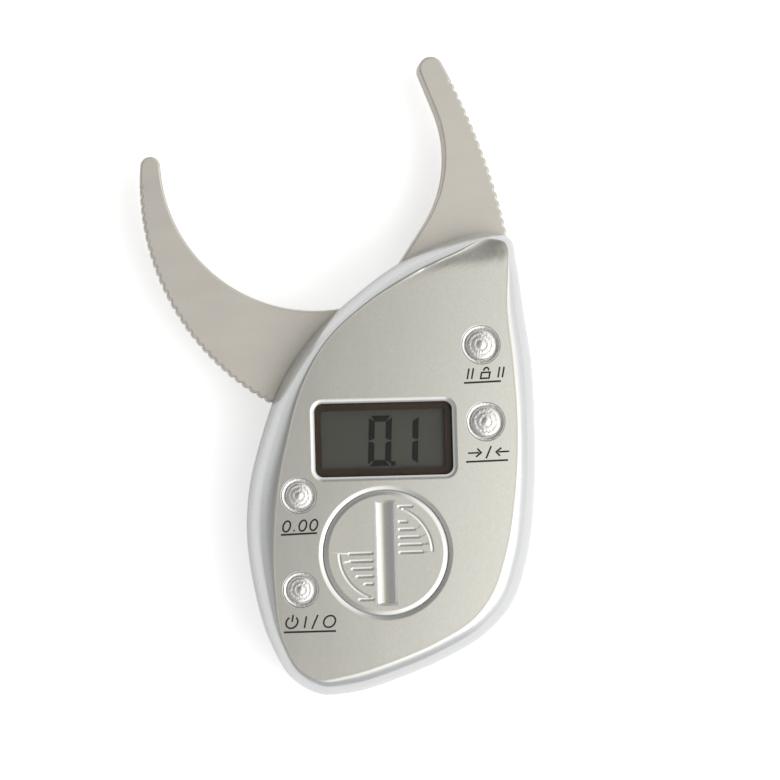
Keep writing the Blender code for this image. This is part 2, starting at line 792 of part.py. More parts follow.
SILVER = ((0.47, 0.45, 0.39), 0.38, 0.55)
JAW_SILVER = ((0.49, 0.46, 0.41), 0.42, 0.5)
BRIGHT = ((0.74, 0.74, 0.72), 0.22, 0.8)
STEEL = ((0.56, 0.56, 0.56), 0.3, 1.0)
BRASS = ((0.72, 0.55, 0.26), 0.3, 1.0)
BOARD_GREEN = ((0.03, 0.19, 0.08), 0.45, 0.0)
TRACK_GOLD = ((0.65, 0.47, 0.18), 0.35, 1.0)
BLACK = ((0.02, 0.02, 0.02), 0.45, 0.0)
DARK_BORDER = ((0.045, 0.037, 0.028), 0.4, 0.0)
GLASS_GREY = ((0.085, 0.085, 0.07), 0.2, 0.0)
CLEAR = ((0.20, 0.20, 0.18), 0.05, 0.0)
RUBBER = ((0.25, 0.25, 0.27), 0.7, 0.0)
DOME_METAL = ((0.6, 0.6, 0.58), 0.25, 1.0)
BRONZE = ((0.45, 0.30, 0.14), 0.4, 1.0)


# Front shell


def button_well(name, place, radius):
    outer = radius + BUTTON_WELL_WALL
    return rod(
        f"{name}_well", outer, BUTTON_WELL_BOTTOM, RIB_TOP, place=place, steps=BUTTON_STEPS
    )


def button_hole(name, place, radius):
    """Clearance for the cap, opening into a chamfer at the face and room for the flange below."""
    face = face_height(*place)
    bore = radius + CLEARANCE
    rim = bore + BUTTON_BEVEL
    profile = (
        (0, face + OVERRUN),
        (rim + OVERRUN, face + OVERRUN),
        (bore, face - BUTTON_BEVEL),
        (bore, BUTTON_WELL_BOTTOM - OVERRUN / 2),
        (0, BUTTON_WELL_BOTTOM - OVERRUN / 2),
    )
    return turned(f"{name}_hole", profile, place=(*place, 0), steps=BUTTON_STEPS)


def battery_bore():
    """The stepped bore for the door: recess, hole through the ledge, and the room for its lugs."""
    top = FACE_TOP + OVERRUN
    face = face_height(*CELL_CENTRE)
    profile = (
        (0, top),
        (RECESS_RADIUS + DOOR_BEVEL + top - face, top),
        (RECESS_RADIUS, face - DOOR_BEVEL),
        (RECESS_RADIUS, RECESS_FLOOR),
        (HOLE_RADIUS, RECESS_FLOOR),
        (HOLE_RADIUS, LEDGE_BOTTOM),
        (CAVITY_RADIUS, LEDGE_BOTTOM),
        (CAVITY_RADIUS, DECK - OVERRUN / 2),
        (0, DECK - OVERRUN / 2),
    )
    return turned("battery_bore", profile, place=(*CELL_CENTRE, 0), steps=FINE_STEPS)


def lug_notch(index):
    sector = ring_sector(
        SKIRT_RADIUS - CLEARANCE,
        LUG_RADIUS + CLEARANCE / 2,
        DOOR_TURN + 180 * index,
        LUG_SPREAD + LUG_NOTCH_MARGIN,
    )
    bottom = LEDGE_BOTTOM - CLEARANCE
    top = RECESS_FLOOR + CLEARANCE
    return plate(f"lug_notch_{index + 1}", [sector], bottom, top, place=CELL_CENTRE)


def display_window():
    """The window's bore with its bevel, as a loft of rounded rectangles up to past the face."""
    face = face_height(*WINDOW_CENTRE)
    levels = (
        (0, DISPLAY_TOP - OVERRUN),
        (0, face - WINDOW_BEVEL),
        (WINDOW_BEVEL + OVERRUN, face + OVERRUN),
    )
    rings = []
    for flare, height in levels:
        outline = rounded_rectangle(
            WINDOW_WIDTH + 2 * flare, WINDOW_HEIGHT + 2 * flare, WINDOW_CORNER + flare
        )
        rings.append([(x + WINDOW_CENTRE[0], y + WINDOW_CENTRE[1], height) for x, y in outline])
    return loft("display_window", rings)


def build_front_cover():
    middle = face_height(*MIDDLE)
    ends = [(*MIDDLE, height) for height in (middle - WALL, middle)]
    cover = loft("front_cover", front_rings(), SILVER, *ends)
    cut(cover, JAW_SLOT)
    foot = PARTING + CLEARANCE / 2
    case_top = CASE_SHANK_TOP + CLEARANCE
    case_bore = CASE_SHANK_RADIUS + CLEARANCE
    board_top = DECK + BOARD_SHANK_BITE + CLEARANCE
    board_bore = BOARD_SHANK_RADIUS + CLEARANCE
    additions = [rod("battery_well", WELL_RADIUS, DECK, RIB_TOP, None, CELL_CENTRE, FINE_STEPS)]
    holes = [battery_bore(), lug_notch(0), lug_notch(1), display_window()]
    for name, (place, radius) in BUTTONS.items():
        additions.append(button_well(name, place, radius))
        holes.append(button_hole(name, place, radius))
    for i, place in enumerate(CASE_SCREWS):
        additions.append(pin(f"case_boss_{i + 1}", CASE_BOSS_RADIUS, foot, RIB_TOP, place))
        holes.append(pin(f"case_pilot_{i + 1}", case_bore, foot - OVERRUN, case_top, place))
    for i, place in enumerate(BOARD_SCREWS):
        additions.append(pin(f"board_boss_{i + 1}", BOARD_BOSS_RADIUS, DECK, RIB_TOP, place))
        holes.append(pin(f"board_pilot_{i + 1}", board_bore, DECK - OVERRUN, board_top, place))
    join(cover, *additions)
    cut(cover, *holes)
    return cover


# Back shell


def case_screw_bore(index, place):
    bore = CASE_SHANK_RADIUS + CLEARANCE
    head = CASE_HEAD_RADIUS + CLEARANCE
    profile = (
        (0, PARTING + OVERRUN),
        (bore, PARTING + OVERRUN),
        (bore, CASE_HEAD_SEAT),
        (head, CASE_HEAD_SEAT),
        (head, -OVERRUN),
        (0, -OVERRUN),
    )
    return turned(f"case_bore_{index + 1}", profile, place=(*place, 0), steps=SMALL_STEPS)


def pivot_post():
    """The shoulder that carries the jaw's hub and the spindle that it turns on, in one profile."""
    profile = (
        (0, JAW_TOP),
        (SPINDLE_RADIUS, JAW_TOP),
        (SPINDLE_RADIUS, JAW_BOTTOM - CLEARANCE),
        (SHOULDER_RADIUS, JAW_BOTTOM - CLEARANCE),
        (SHOULDER_RADIUS, WALL - BITE),
        (0, WALL - BITE),
    )
    return turned("pivot_post", profile)


def spring_leg_end(coil_angle, side):
    """The end of a leg that runs off the coil at the angle, on the side given, as a tangent."""
    return polar((0, 0), SPRING_LEG_RADIUS, coil_angle + side * spring_leg_spread())


def spring_leg_spread():
    return math.degrees(math.acos(SPRING_RADIUS / SPRING_LEG_RADIUS))


def spring_stop(coil_angle, side):
    """The centre of a peg that bears on the outer side of a leg, near its end."""
    start = Vector(polar((0, 0), SPRING_RADIUS, coil_angle))
    end = Vector(spring_leg_end(coil_angle, side))
    back = (start - end).normalized() * PEG_RADIUS
    out = start.normalized() * (SPRING_WIRE / 2 + CLEARANCE + PEG_RADIUS)
    return tuple(end + back + out)


SPRING_START_ANGLE = SPRING_END_ANGLE + 360 * SPRING_TURNS


def build_rear_cover():
    cover = loft("rear_cover", back_rings(), SILVER)
    cut(cover, JAW_SLOT)
    anchor = spring_stop(SPRING_START_ANGLE, 1)
    floor = WALL - BITE
    shelf = JAW_BOTTOM - CLEARANCE
    top = PARTING - CLEARANCE / 2
    jaw_bore = JAW_SHANK_RADIUS + CLEARANCE
    additions = [pivot_post(), pin("spring_anchor", PEG_RADIUS, floor, shelf - CLEARANCE, anchor)]
    pivot_bore = PIVOT_SHANK_RADIUS + CLEARANCE
    holes = [pin("pivot_pilot", pivot_bore, PIVOT_SHANK_FOOT - CLEARANCE, JAW_TOP + OVERRUN)]
    for i, place in enumerate(CASE_SCREWS):
        additions.append(pin(f"case_foot_{i + 1}", CASE_FOOT_RADIUS, floor, top, place))
        holes.append(case_screw_bore(i, place))
    for i, place in enumerate(JAW_SCREWS):
        foot = JAW_SHANK_FOOT - CLEARANCE
        additions.append(pin(f"jaw_foot_{i + 1}", JAW_FOOT_RADIUS, floor, shelf, place))
        holes.append(pin(f"jaw_pilot_{i + 1}", jaw_bore, foot, shelf + OVERRUN, place))
    join(cover, *additions)
    cut(cover, *holes)
    return cover


# Jaws and pivot


def build_moving_jaw():
    jaw = plate("moving_jaw", [moving_outline()], JAW_BOTTOM, JAW_TOP, JAW_SILVER, chamfer=JAW_CHAMFER)
    bore = SPINDLE_RADIUS + 2 * CLEARANCE + BUSHING_WALL
    cut(jaw, rod("hub_bore", bore, JAW_BOTTOM - OVERRUN, JAW_TOP + OVERRUN))
    place = spring_stop(SPRING_END_ANGLE, -1)
    peg_bottom = JAW_BOTTOM - PEG_HEIGHT
    join(jaw, pin("spring_peg", PEG_RADIUS, peg_bottom, JAW_BOTTOM + BITE, place))
    return jaw


def build_fixed_jaw():
    jaw = plate("fixed_jaw", [fixed_outline()], JAW_BOTTOM, JAW_TOP, JAW_SILVER, chamfer=JAW_CHAMFER)
    bottom = JAW_BOTTOM - OVERRUN
    top = JAW_TOP + OVERRUN
    holes = [pin("root_bore", CASE_FOOT_RADIUS + CLEARANCE, bottom, top, CASE_SCREWS[0])]
    for i, place in enumerate(JAW_SCREWS):
        holes.append(pin(f"root_hole_{i + 1}", JAW_SHANK_RADIUS + CLEARANCE, bottom, top, place))
    cut(jaw, *holes)
    return jaw


def build_pivot():
    inner = SPINDLE_RADIUS + CLEARANCE
    tube("hub_bushing", inner, inner + BUSHING_WALL, JAW_BOTTOM, JAW_TOP, BRONZE)
    washer_bottom = JAW_TOP + CLEARANCE
    washer_top = washer_bottom + WASHER_THICKNESS
    bore = PIVOT_SHANK_RADIUS + CLEARANCE
    tube("pivot_washer", bore, WASHER_RADIUS, washer_bottom, washer_top, STEEL)
    head_bottom = washer_top + CLEARANCE
    screw(
        "pivot_screw",
        (0, 0),
        PIVOT_HEAD_RADIUS,
        (head_bottom, head_bottom + PIVOT_HEAD_HEIGHT),
        PIVOT_SHANK_RADIUS,
        PIVOT_SHANK_FOOT,
    )


def screw(name, place, head_radius, head, shank_radius, shank_end):
    """A screw with a cross cut in its head. head is the span from the seat to the driven side."""
    seat, drive = head
    if drive > seat:
        profile = (
            (0, drive),
            (head_radius, drive),
            (head_radius, seat),
            (shank_radius, seat),
            (shank_radius, shank_end),
            (0, shank_end),
        )
    else:
        profile = (
            (0, shank_end),
            (shank_radius, shank_end),
            (shank_radius, seat),
            (head_radius, seat),
            (head_radius, drive),
            (0, drive),
        )
    piece = turned(name, profile, STEEL, (*place, 0), SMALL_STEPS)
    reach = head_radius * DRIVE_REACH_SHARE
    root = DRIVE_WIDTH / 2
    end = root * DRIVE_END_SHARE
    cross = []
    for x, y in ((1, 0), (0, 1), (-1, 0), (0, -1)):
        cross.append((x * reach + y * end, y * reach - x * end))
        cross.append((x * reach - y * end, y * reach + x * end))
        cross.append((x * root - y * root, y * root + x * root))
    side = 1 if drive > seat else -1
    floor = drive - side * DRIVE_DEPTH
    outside = drive + side * OVERRUN
    cut(piece, plate(f"{name}_cross", [cross], min(floor, outside), max(floor, outside), place=place))
    return piece


def build_jaw_spring():
    """A coil round the shoulder. Its lower leg bears on the anchor and its upper on the jaw's peg."""
    height = SPRING_BOTTOM + SPRING_WIRE / 2
    rise = SPRING_TURNS * SPRING_PITCH
    steps = round(SPRING_TURNS * SPRING_STEPS)
    points = [(*spring_leg_end(SPRING_START_ANGLE, 1), height)]
    for i in range(steps + 1):
        share = i / steps
        angle = SPRING_START_ANGLE - 360 * SPRING_TURNS * share
        points.append((*polar((0, 0), SPRING_RADIUS, angle), height + rise * share))
    points.append((*spring_leg_end(SPRING_END_ANGLE, -1), height + rise))
    wire("jaw_spring", points, SPRING_WIRE / 2, STEEL)


def wire(name, points, radius, finish):
    curve = bpy.data.curves.new(name, "CURVE")
    curve.dimensions = "3D"
    curve.bevel_depth = radius
    curve.bevel_resolution = 1
    curve.use_fill_caps = True
    spline = curve.splines.new("POLY")
    spline.points.add(len(points) - 1)
    for point, place in zip(spline.points, points):
        point.co = (*place, 1)
    return solid_from_curve(add_object(name, curve, finish))


# Sensor and board


def build_sensor():
    """The wiper ring with its contact fingers, keyed on the hub, and the track ring above it."""
    top = WIPER_BOTTOM + SENSOR_THICKNESS
    inner = SENSOR_OUTER - FINGER_LENGTH
    wiper = tube("sensor_wiper", SENSOR_INNER, inner, WIPER_BOTTOM, top, BRASS)
    spread = math.degrees(FINGER_WIDTH / SENSOR_OUTER)
    fingers = []
    for i in range(WIPER_FINGERS):
        sector = ring_sector(inner - BITE, SENSOR_OUTER, 90 + 360 * i / WIPER_FINGERS, spread, 3)
        fingers.append(plate(f"wiper_finger_{i + 1}", [sector], WIPER_BOTTOM, top))
    join(wiper, *fingers)
    top = TRACK_BOTTOM + SENSOR_THICKNESS
    tube("sensor_track", SENSOR_INNER, SENSOR_OUTER, TRACK_BOTTOM, top, TRACK_GOLD)


def board_outline():
    """The face's edge drawn in, and cut off straight below the fixed jaw's root."""
    inset = [edge + inner * BOARD_INSET for edge, inner in zip(FACE_EDGE, INWARD)]
    return [(point.x, min(point.y, BOARD_HEAD)) for point in inset if point.y < BOARD_HEAD + RIM_WIDTH]


def build_board():
    board = plate("main_board", [board_outline()], BOARD_BOTTOM, BOARD_TOP, BOARD_GREEN)
    bottom = BOARD_BOTTOM - OVERRUN
    top = BOARD_TOP + OVERRUN
    holes = [rod("board_pivot_hole", PIVOT_HEAD_RADIUS + 2 * CLEARANCE, bottom, top)]
    for i, place in enumerate(CASE_SCREWS[1:]):
        holes.append(pin(f"board_notch_{i + 1}", CASE_BOSS_RADIUS + CLEARANCE, bottom, top, place))
    for i, place in enumerate(BOARD_SCREWS):
        holes.append(pin(f"board_hole_{i + 1}", BOARD_SHANK_RADIUS + CLEARANCE, bottom, top, place))
    cut(board, *holes)
    return board


def dome(name, place, radius, height, finish):
    shares = (0, 0.4, 0.72, 0.92, 1.0)
    profile = [(radius * share, DECK + height * math.sqrt(1 - share * share)) for share in shares]
    profile[-1] = (radius, DECK)
    profile.append((0, DECK))
    return turned(name, profile, finish, (*place, 0), SMALL_STEPS)


# Display


def build_display():
    inner = (FRAME_WIDTH - 2 * DISPLAY_FRAME_WALL, FRAME_HEIGHT - 2 * DISPLAY_FRAME_WALL)
    glass = (inner[0] - 2 * CLEARANCE, inner[1] - 2 * CLEARANCE)
    frame = plate(
        "lcd_frame",
        [rounded_rectangle(FRAME_WIDTH, FRAME_HEIGHT, DISPLAY_FRAME_CORNER)],
        DECK,
        DISPLAY_TOP,
        DARK_BORDER,
        WINDOW_CENTRE,
    )
    room = plate(
        "glass_room",
        [rounded_rectangle(*inner, CLEARANCE)],
        DECK - OVERRUN,
        DISPLAY_TOP - DISPLAY_FRAME_TOP,
        place=WINDOW_CENTRE,
    )
    view = plate(
        "view_opening",
        [rounded_rectangle(VIEW_WIDTH, VIEW_HEIGHT, CLEARANCE)],
        DISPLAY_TOP - DISPLAY_FRAME_TOP - CLEARANCE,
        DISPLAY_TOP + OVERRUN,
        place=WINDOW_CENTRE,
    )
    cut(frame, room, view)
    outline = rounded_rectangle(
        WINDOW_WIDTH - 2 * CLEARANCE, WINDOW_HEIGHT - 2 * CLEARANCE, WINDOW_CORNER - CLEARANCE
    )
    plate("lcd_lens", [outline], LENS_BOTTOM, LENS_BOTTOM + LENS_THICKNESS, CLEAR, WINDOW_CENTRE)
    outline = rounded_rectangle(*glass, CLEARANCE)
    plate("lcd_panel", [outline], GLASS_BOTTOM, GLASS_TOP, GLASS_GREY, WINDOW_CENTRE)
    for name, side in (("upper", 1), ("lower", -1)):
        strip = rounded_rectangle(glass[0] - 2 * ZEBRA_END, ZEBRA_WIDTH, ZEBRA_WIDTH / 4, 2)
        offset = side * (glass[1] - ZEBRA_WIDTH) / 2
        place = (WINDOW_CENTRE[0], WINDOW_CENTRE[1] + offset)
        plate(f"zebra_strip_{name}", [strip], DECK, DECK + ZEBRA_HEIGHT, RUBBER, place)


# Buttons


def build_button(name, place, radius):
    """A cap with turned rings round a shallow dome, over a flange that holds it in, and a stem."""
    top = face_height(*place) + BUTTON_RISE
    rings = [share * radius for share in BUTTON_RING_SHARES]
    profile = [
        (0, top + BUTTON_GROOVE_DEPTH),
        (rings[3] * BUTTON_DOME_SHARE, top + BUTTON_GROOVE_DEPTH * BUTTON_DOME_SHARE),
        (rings[3], top - BUTTON_GROOVE_DEPTH),
        (rings[2], top - BUTTON_GROOVE_DEPTH / 3),
        (rings[1], top - BUTTON_GROOVE_DEPTH),
        (rings[0], top),
        (radius, top - BUTTON_EDGE_ROUND),
        (radius, BUTTON_FLANGE_TOP),
        (radius + BUTTON_FLANGE, BUTTON_FLANGE_TOP),
        (radius + BUTTON_FLANGE, BUTTON_FLANGE_TOP - BUTTON_FLANGE_THICKNESS),
        (BUTTON_STEM_RADIUS, BUTTON_FLANGE_TOP - BUTTON_FLANGE_THICKNESS),
        (BUTTON_STEM_RADIUS, BUTTON_STEM_BOTTOM),
        (0, BUTTON_STEM_BOTTOM),
    ]
    turned(f"{name}_button", profile, BRIGHT, (*place, 0), BUTTON_STEPS)
    dome(f"{name}_dome", place, DOME_RADIUS, DOME_HEIGHT, DOME_METAL)


# Battery


def build_cell():
    """A coin cell: the can steps in to the smaller cap on its lower side."""
    top = CELL_BOTTOM + CELL_THICKNESS
    profile = (
        (0, top),
        (CELL_RADIUS, top),
        (CELL_RADIUS, CELL_BOTTOM + CELL_STEP),
        (CELL_RADIUS - CELL_STEP, CELL_BOTTOM),
        (0, CELL_BOTTOM),
    )
    turned("coin_cell", profile, STEEL, (*CELL_CENTRE, 0))


def build_contacts():
    """A leaf under the cell and an upright tab against its side, both soldered to the board."""
    leaf = rounded_rectangle(CONTACT_LENGTH, CONTACT_WIDTH, CONTACT_WIDTH / 2)
    top = DECK + CONTACT_THICKNESS
    plate("battery_contact_negative", [leaf], DECK, top, BRASS, CELL_CENTRE)
    inner = CELL_RADIUS + CLEARANCE
    spread = math.degrees(CONTACT_WIDTH / inner)
    sector = ring_sector(inner, inner + CONTACT_THICKNESS, CONTACT_TAB_ANGLE, spread, 4)
    foot = ring_sector(inner, inner + CONTACT_WIDTH / 2, CONTACT_TAB_ANGLE, spread / 2, 3)
    tab_top = DECK + CONTACT_TAB_HEIGHT
    tab = plate("battery_contact_positive", [sector], DECK, tab_top, BRASS, CELL_CENTRE)
    join(tab, plate("contact_foot", [foot], DECK, top, place=CELL_CENTRE))


def coin_slot():
    """The slot for a coin: bevelled edges, short sides and a floor that is hollowed across its width."""
    edge = SLOT_WIDTH / 2
    half = edge - SLOT_BEVEL
    sink = SLOT_DEPTH - SLOT_WALL
    radius = (half * half + sink * sink) / (2 * sink)
    spread = math.degrees(math.asin(half / radius))
    floor = arc((0, radius - SLOT_DEPTH), radius, -90 - spread, -90 + spread, 8)
    section = [(-edge, OVERRUN), (-edge, 0), *floor, (edge, 0), (edge, OVERRUN)]
    slot = plate("coin_slot", [section], -SLOT_LENGTH / 2, SLOT_LENGTH / 2)
    slot.rotation_euler = (math.radians(90), 0, 0)
    slot.location = (*CELL_CENTRE, DOOR_TOP)
    return slot


def grip_groove(index, side):
    """One groove of a thumb grip: it runs from beside the slot out to the grip's round edge."""
    middle = side * index * GRIP_PITCH
    start = SLOT_WIDTH / 2 + GRIP_MARGIN
    end = math.sqrt(GRIP_RADIUS * GRIP_RADIUS - middle * middle)
    outline = rounded_rectangle(end - start, GRIP_GROOVE, GRIP_GROOVE / 3, 2)
    place = (CELL_CENTRE[0] + side * (start + end) / 2, CELL_CENTRE[1] + middle)
    name = f"grip_{'upper' if side > 0 else 'lower'}_{index + 1}"
    return plate(name, [outline], DOOR_TOP - GRIP_DEPTH, DOOR_TOP + OVERRUN, place=place)


def grip_arc(side):
    spread = (GRIP_ARC_END - GRIP_ARC_START) / 2
    middle = GRIP_ARC_START + spread + (0 if side > 0 else 180)
    half = GRIP_ARC_WIDTH / 2
    sector = ring_sector(GRIP_ARC_RADIUS - half, GRIP_ARC_RADIUS + half, middle, spread, 8)
    name = f"grip_arc_{'upper' if side > 0 else 'lower'}"
    bottom = DOOR_TOP - GRIP_DEPTH / 2
    return plate(name, [sector], bottom, DOOR_TOP + OVERRUN, place=CELL_CENTRE)


def build_door():
    """A coin-turned door: a plate over the recess, a skirt round the cell and two bayonet lugs."""
    profile = (
        (0, DOOR_TOP),
        (DOOR_RADIUS - DOOR_BEVEL, DOOR_TOP),
        (DOOR_RADIUS, DOOR_TOP - DOOR_BEVEL),
        (DOOR_RADIUS, DOOR_BOTTOM),
        (SKIRT_RADIUS, DOOR_BOTTOM),
        (SKIRT_RADIUS, LUG_BOTTOM),
        (CELL_RADIUS + CLEARANCE, LUG_BOTTOM),
        (CELL_RADIUS + CLEARANCE, DOOR_BOTTOM),
        (0, DOOR_BOTTOM),
    )
    door = turned("battery_door", profile, SILVER, (*CELL_CENTRE, 0), FINE_STEPS)
    lugs = []
    for i in range(2):
        sector = ring_sector(SKIRT_RADIUS - BITE, LUG_RADIUS, 180 * i, LUG_SPREAD)
        lugs.append(plate(f"door_lug_{i + 1}", [sector], LUG_BOTTOM, LUG_TOP, place=CELL_CENTRE))
    join(door, *lugs)
    grooves = [grip_arc(side) for side in (1, -1)]
    grooves += [grip_groove(index, side) for side in (1, -1) for index in range(GRIP_GROOVES)]
    cut(door, coin_slot(), *grooves)
    return door


# Fasteners


def build_fasteners():
    for i, place in enumerate(CASE_SCREWS):
        seat = CASE_HEAD_SEAT - CLEARANCE
        head = (seat, seat - CASE_HEAD_HEIGHT)
        screw(f"case_screw_{i + 1}", place, CASE_HEAD_RADIUS, head, CASE_SHANK_RADIUS, CASE_SHANK_TOP)
    for i, place in enumerate(BOARD_SCREWS):
        seat = BOARD_BOTTOM - CLEARANCE
        head = (seat, seat - BOARD_HEAD_HEIGHT)
        end = DECK + BOARD_SHANK_BITE
        screw(f"board_screw_{i + 1}", place, BOARD_HEAD_RADIUS, head, BOARD_SHANK_RADIUS, end)
    for i, place in enumerate(JAW_SCREWS):
        seat = JAW_TOP + CLEARANCE
        head = (seat, seat + JAW_HEAD_HEIGHT)
        screw(f"jaw_screw_{i + 1}", place, JAW_HEAD_RADIUS, head, JAW_SHANK_RADIUS, JAW_SHANK_FOOT)


build_rear_cover()
build_front_cover()
build_fixed_jaw()
build_moving_jaw()
build_pivot()
build_jaw_spring()
build_sensor()
build_board()
dome("controller_chip", CHIP_PLACE, CHIP_RADIUS, CHIP_HEIGHT, BLACK)
build_display()
for button_name, (button_place, button_radius) in BUTTONS.items():
    build_button(button_name, button_place, button_radius)
build_cell()
build_contacts()
build_door()
build_fasteners()
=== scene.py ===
"""The looks of the skinfold caliper, on the frame of its CAD model. Lengths are in metres."""

import math

import bmesh
import bpy
from mathutils import Matrix, Vector


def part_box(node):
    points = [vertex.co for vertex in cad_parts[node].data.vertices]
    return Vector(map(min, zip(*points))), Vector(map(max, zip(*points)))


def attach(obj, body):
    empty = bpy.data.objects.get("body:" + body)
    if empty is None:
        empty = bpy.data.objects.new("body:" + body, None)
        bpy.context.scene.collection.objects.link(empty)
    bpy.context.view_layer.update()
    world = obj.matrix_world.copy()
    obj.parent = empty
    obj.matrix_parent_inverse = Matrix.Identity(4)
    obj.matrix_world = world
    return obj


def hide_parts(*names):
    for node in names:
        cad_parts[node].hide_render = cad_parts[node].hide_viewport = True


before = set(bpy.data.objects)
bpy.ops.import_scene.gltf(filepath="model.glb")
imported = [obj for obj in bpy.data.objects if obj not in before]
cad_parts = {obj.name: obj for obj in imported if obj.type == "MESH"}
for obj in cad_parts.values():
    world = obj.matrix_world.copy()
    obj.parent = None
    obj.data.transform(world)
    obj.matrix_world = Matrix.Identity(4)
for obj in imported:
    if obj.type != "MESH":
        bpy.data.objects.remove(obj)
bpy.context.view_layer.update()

MM = 0.001

# Camera, at the angle and distance that the photograph was taken from

FRAME_PIXELS = 780
PIXEL = 0.22 * MM
DISTANCE = 0.6
SENSOR = 36
CLIPS = (0.01, 20)
LEAN_LEFT = math.radians(5)
LEAN_DOWN = math.radians(2)
ROLL = math.radians(1.5)
TARGET = Vector((2.887, -5.307, 10.0)) * MM


def make_camera():
    toward = Vector((-math.tan(LEAN_LEFT), -math.tan(LEAN_DOWN), 1)).normalized()
    up = Vector((0, 1, 0))
    up = (up - toward * up.dot(toward)).normalized()
    right = up.cross(toward)
    across = right * math.cos(ROLL) - up * math.sin(ROLL)
    upward = right * math.sin(ROLL) + up * math.cos(ROLL)
    data = bpy.data.cameras.new("camera")
    data.sensor_width = SENSOR
    data.lens = SENSOR * DISTANCE / (PIXEL * FRAME_PIXELS)
    data.clip_start, data.clip_end = CLIPS
    camera = link("camera", data)
    matrix = Matrix((across, upward, toward)).transposed().to_4x4()
    matrix.translation = TARGET + toward * DISTANCE
    camera.matrix_world = matrix
    bpy.context.scene.camera = camera


# Node helpers


class Nodes:
    """A material's or world's node tree with short ways to add and link nodes."""

    def __init__(self, name, owners=None, output="OutputMaterial"):
        self.material = (bpy.data.materials if owners is None else owners).new(name)
        self.material.use_nodes = True
        self.tree = self.material.node_tree
        self.tree.nodes.clear()
        self.output = self.tree.nodes.new("ShaderNode" + output)

    def add(self, kind, inputs=(), **settings):
        node = self.tree.nodes.new("ShaderNode" + kind)
        for key, value in settings.items():
            setattr(node, key, value)
        for key, value in dict(inputs).items():
            self.feed(node.inputs[key], value)
        return node

    def feed(self, socket, value):
        if isinstance(value, bpy.types.NodeSocket):
            self.tree.links.new(value, socket)
        else:
            socket.default_value = value

    def math(self, operation, *values, clamp=False):
        node = self.add("Math", operation=operation, use_clamp=clamp)
        for socket, value in zip(node.inputs, values):
            self.feed(socket, value)
        return node.outputs[0]

    def mix(self, factor, first, second, share=None, blend="MIX"):
        """The second colour over the first by the factor, or by that share of it."""
        if share is not None:
            factor = self.math("MULTIPLY", factor, share)
        inputs = {0: factor, 6: first, 7: second}
        return self.add("Mix", inputs, data_type="RGBA", blend_type=blend).outputs[2]

    def place(self):
        return self.add("TexCoord").outputs["Object"]

    def noise(self, scale, detail, stretch=(1, 1, 1), distortion=0.0):
        source = self.place()
        if stretch != (1, 1, 1):
            source = self.add("Mapping", {"Vector": source, "Scale": stretch}).outputs[0]
        inputs = {"Vector": source, "Scale": scale, "Detail": detail, "Distortion": distortion}
        return self.add("TexNoise", inputs).outputs["Fac"]

    def step(self, value, start, end):
        """Nought before the start, one past the end and an eased rise between them."""
        limits = {"Value": value, "From Min": start, "From Max": end}
        return self.add("MapRange", limits, interpolation_type="SMOOTHSTEP").outputs[0]

    def around(self, value, middle, spread):
        """The value's swing about a half, widened by the spread and set about the middle."""
        return self.math("ADD", middle, self.math("MULTIPLY", self.math("SUBTRACT", value, 0.5), spread))

    def bump(self, height, strength, distance, normal=None):
        inputs = {"Height": height, "Strength": strength, "Distance": distance}
        if normal is not None:
            inputs["Normal"] = normal
        return self.add("Bump", inputs).outputs[0]

    def flakes(self, base, scale, share, colour):
        """The base with metal flakes of the colour in it."""
        cells = self.add("TexVoronoi", {"Vector": self.place(), "Scale": scale}).outputs["Color"]
        tone = self.add("SeparateColor", {"Color": cells}).outputs[0]
        return self.mix(tone, base, colour, share)

    def finish(self, node):
        self.feed(self.output.inputs[0], node.outputs[0])
        return self.material

    def shader(self, **inputs):
        names = {key.replace("_", " "): value for key, value in inputs.items()}
        return self.finish(self.add("BsdfPrincipled", names))


WHITE = (1, 1, 1, 1)


def rgb(red, green, blue):
    """A colour given as it shows on screen, as linear values."""
    linear = []
    for value in (red, green, blue):
        share = value / 255
        linear.append(share / 12.92 if share <= 0.04045 else ((share + 0.055) / 1.055) ** 2.4)
    return (*linear, 1)


def scaled(colour, share, lift=0.0):
    return (*(min(1, value * share + lift) for value in colour[:3]), 1)


# Materials


def silver_with_painted_rim_sheen(name, face, rim):
    """Silver lacquer, warmer and darker on the flat of the face, with a painted reflection that makes its
    bevels and rim lighter and cooler by how far they slope.
    """
    n = Nodes(name)
    # Painted reflection: by their slope, the bevels and rim take the lighter, cooler colour of a bright
    # surround
    upright = n.add("SeparateXYZ", {"Vector": n.add("TexCoord").outputs["Normal"]}).outputs[2]
    base = n.mix(n.step(upright, 0.90, 0.995), rim, face)
    cloud = n.mix(n.noise(38, 3), (0.93, 0.93, 0.93, 1), WHITE)
    base = n.mix(1.0, base, cloud, blend="MULTIPLY")
    base = n.flakes(base, 4200.0, 0.12, (1, 1, 0.98, 1))
    grain = n.noise(1500, 2)
    scuff = n.noise(160, 4, stretch=(1, 0.25, 1), distortion=0.4)
    rough = n.math("ADD", n.around(scuff, 0.25, 0.10), n.around(grain, 0.0, 0.06))
    peel = n.bump(n.noise(700, 2), 0.06, 0.00004)
    fine = n.bump(grain, 0.10, 0.00002, peel)
    coat = {"Coat_Weight": 0.25, "Coat_Roughness": 0.15}
    return n.shader(Base_Color=base, Metallic=0.75, Roughness=rough, Normal=fine, **coat)


def satin_jaw(name, tone):
    """Satin silver plastic with flow streaks along the part and rubbed spots."""
    n = Nodes(name)
    cloud = n.noise(60, 3)
    streak = n.noise(240, 3, stretch=(0.3, 1, 1), distortion=0.3)
    blend = n.math("ADD", n.math("MULTIPLY", cloud, 0.6), n.math("MULTIPLY", streak, 0.4), clamp=True)
    base = n.mix(blend, scaled(tone, 0.90), scaled(tone, 1.08))
    base = n.flakes(base, 4800.0, 0.08, (1, 0.99, 0.97, 1))
    fine = n.bump(n.noise(1600, 2), 0.16, 0.00002)
    return n.shader(Base_Color=base, Metallic=0.6, Roughness=n.around(streak, 0.42, 0.14), Normal=fine)


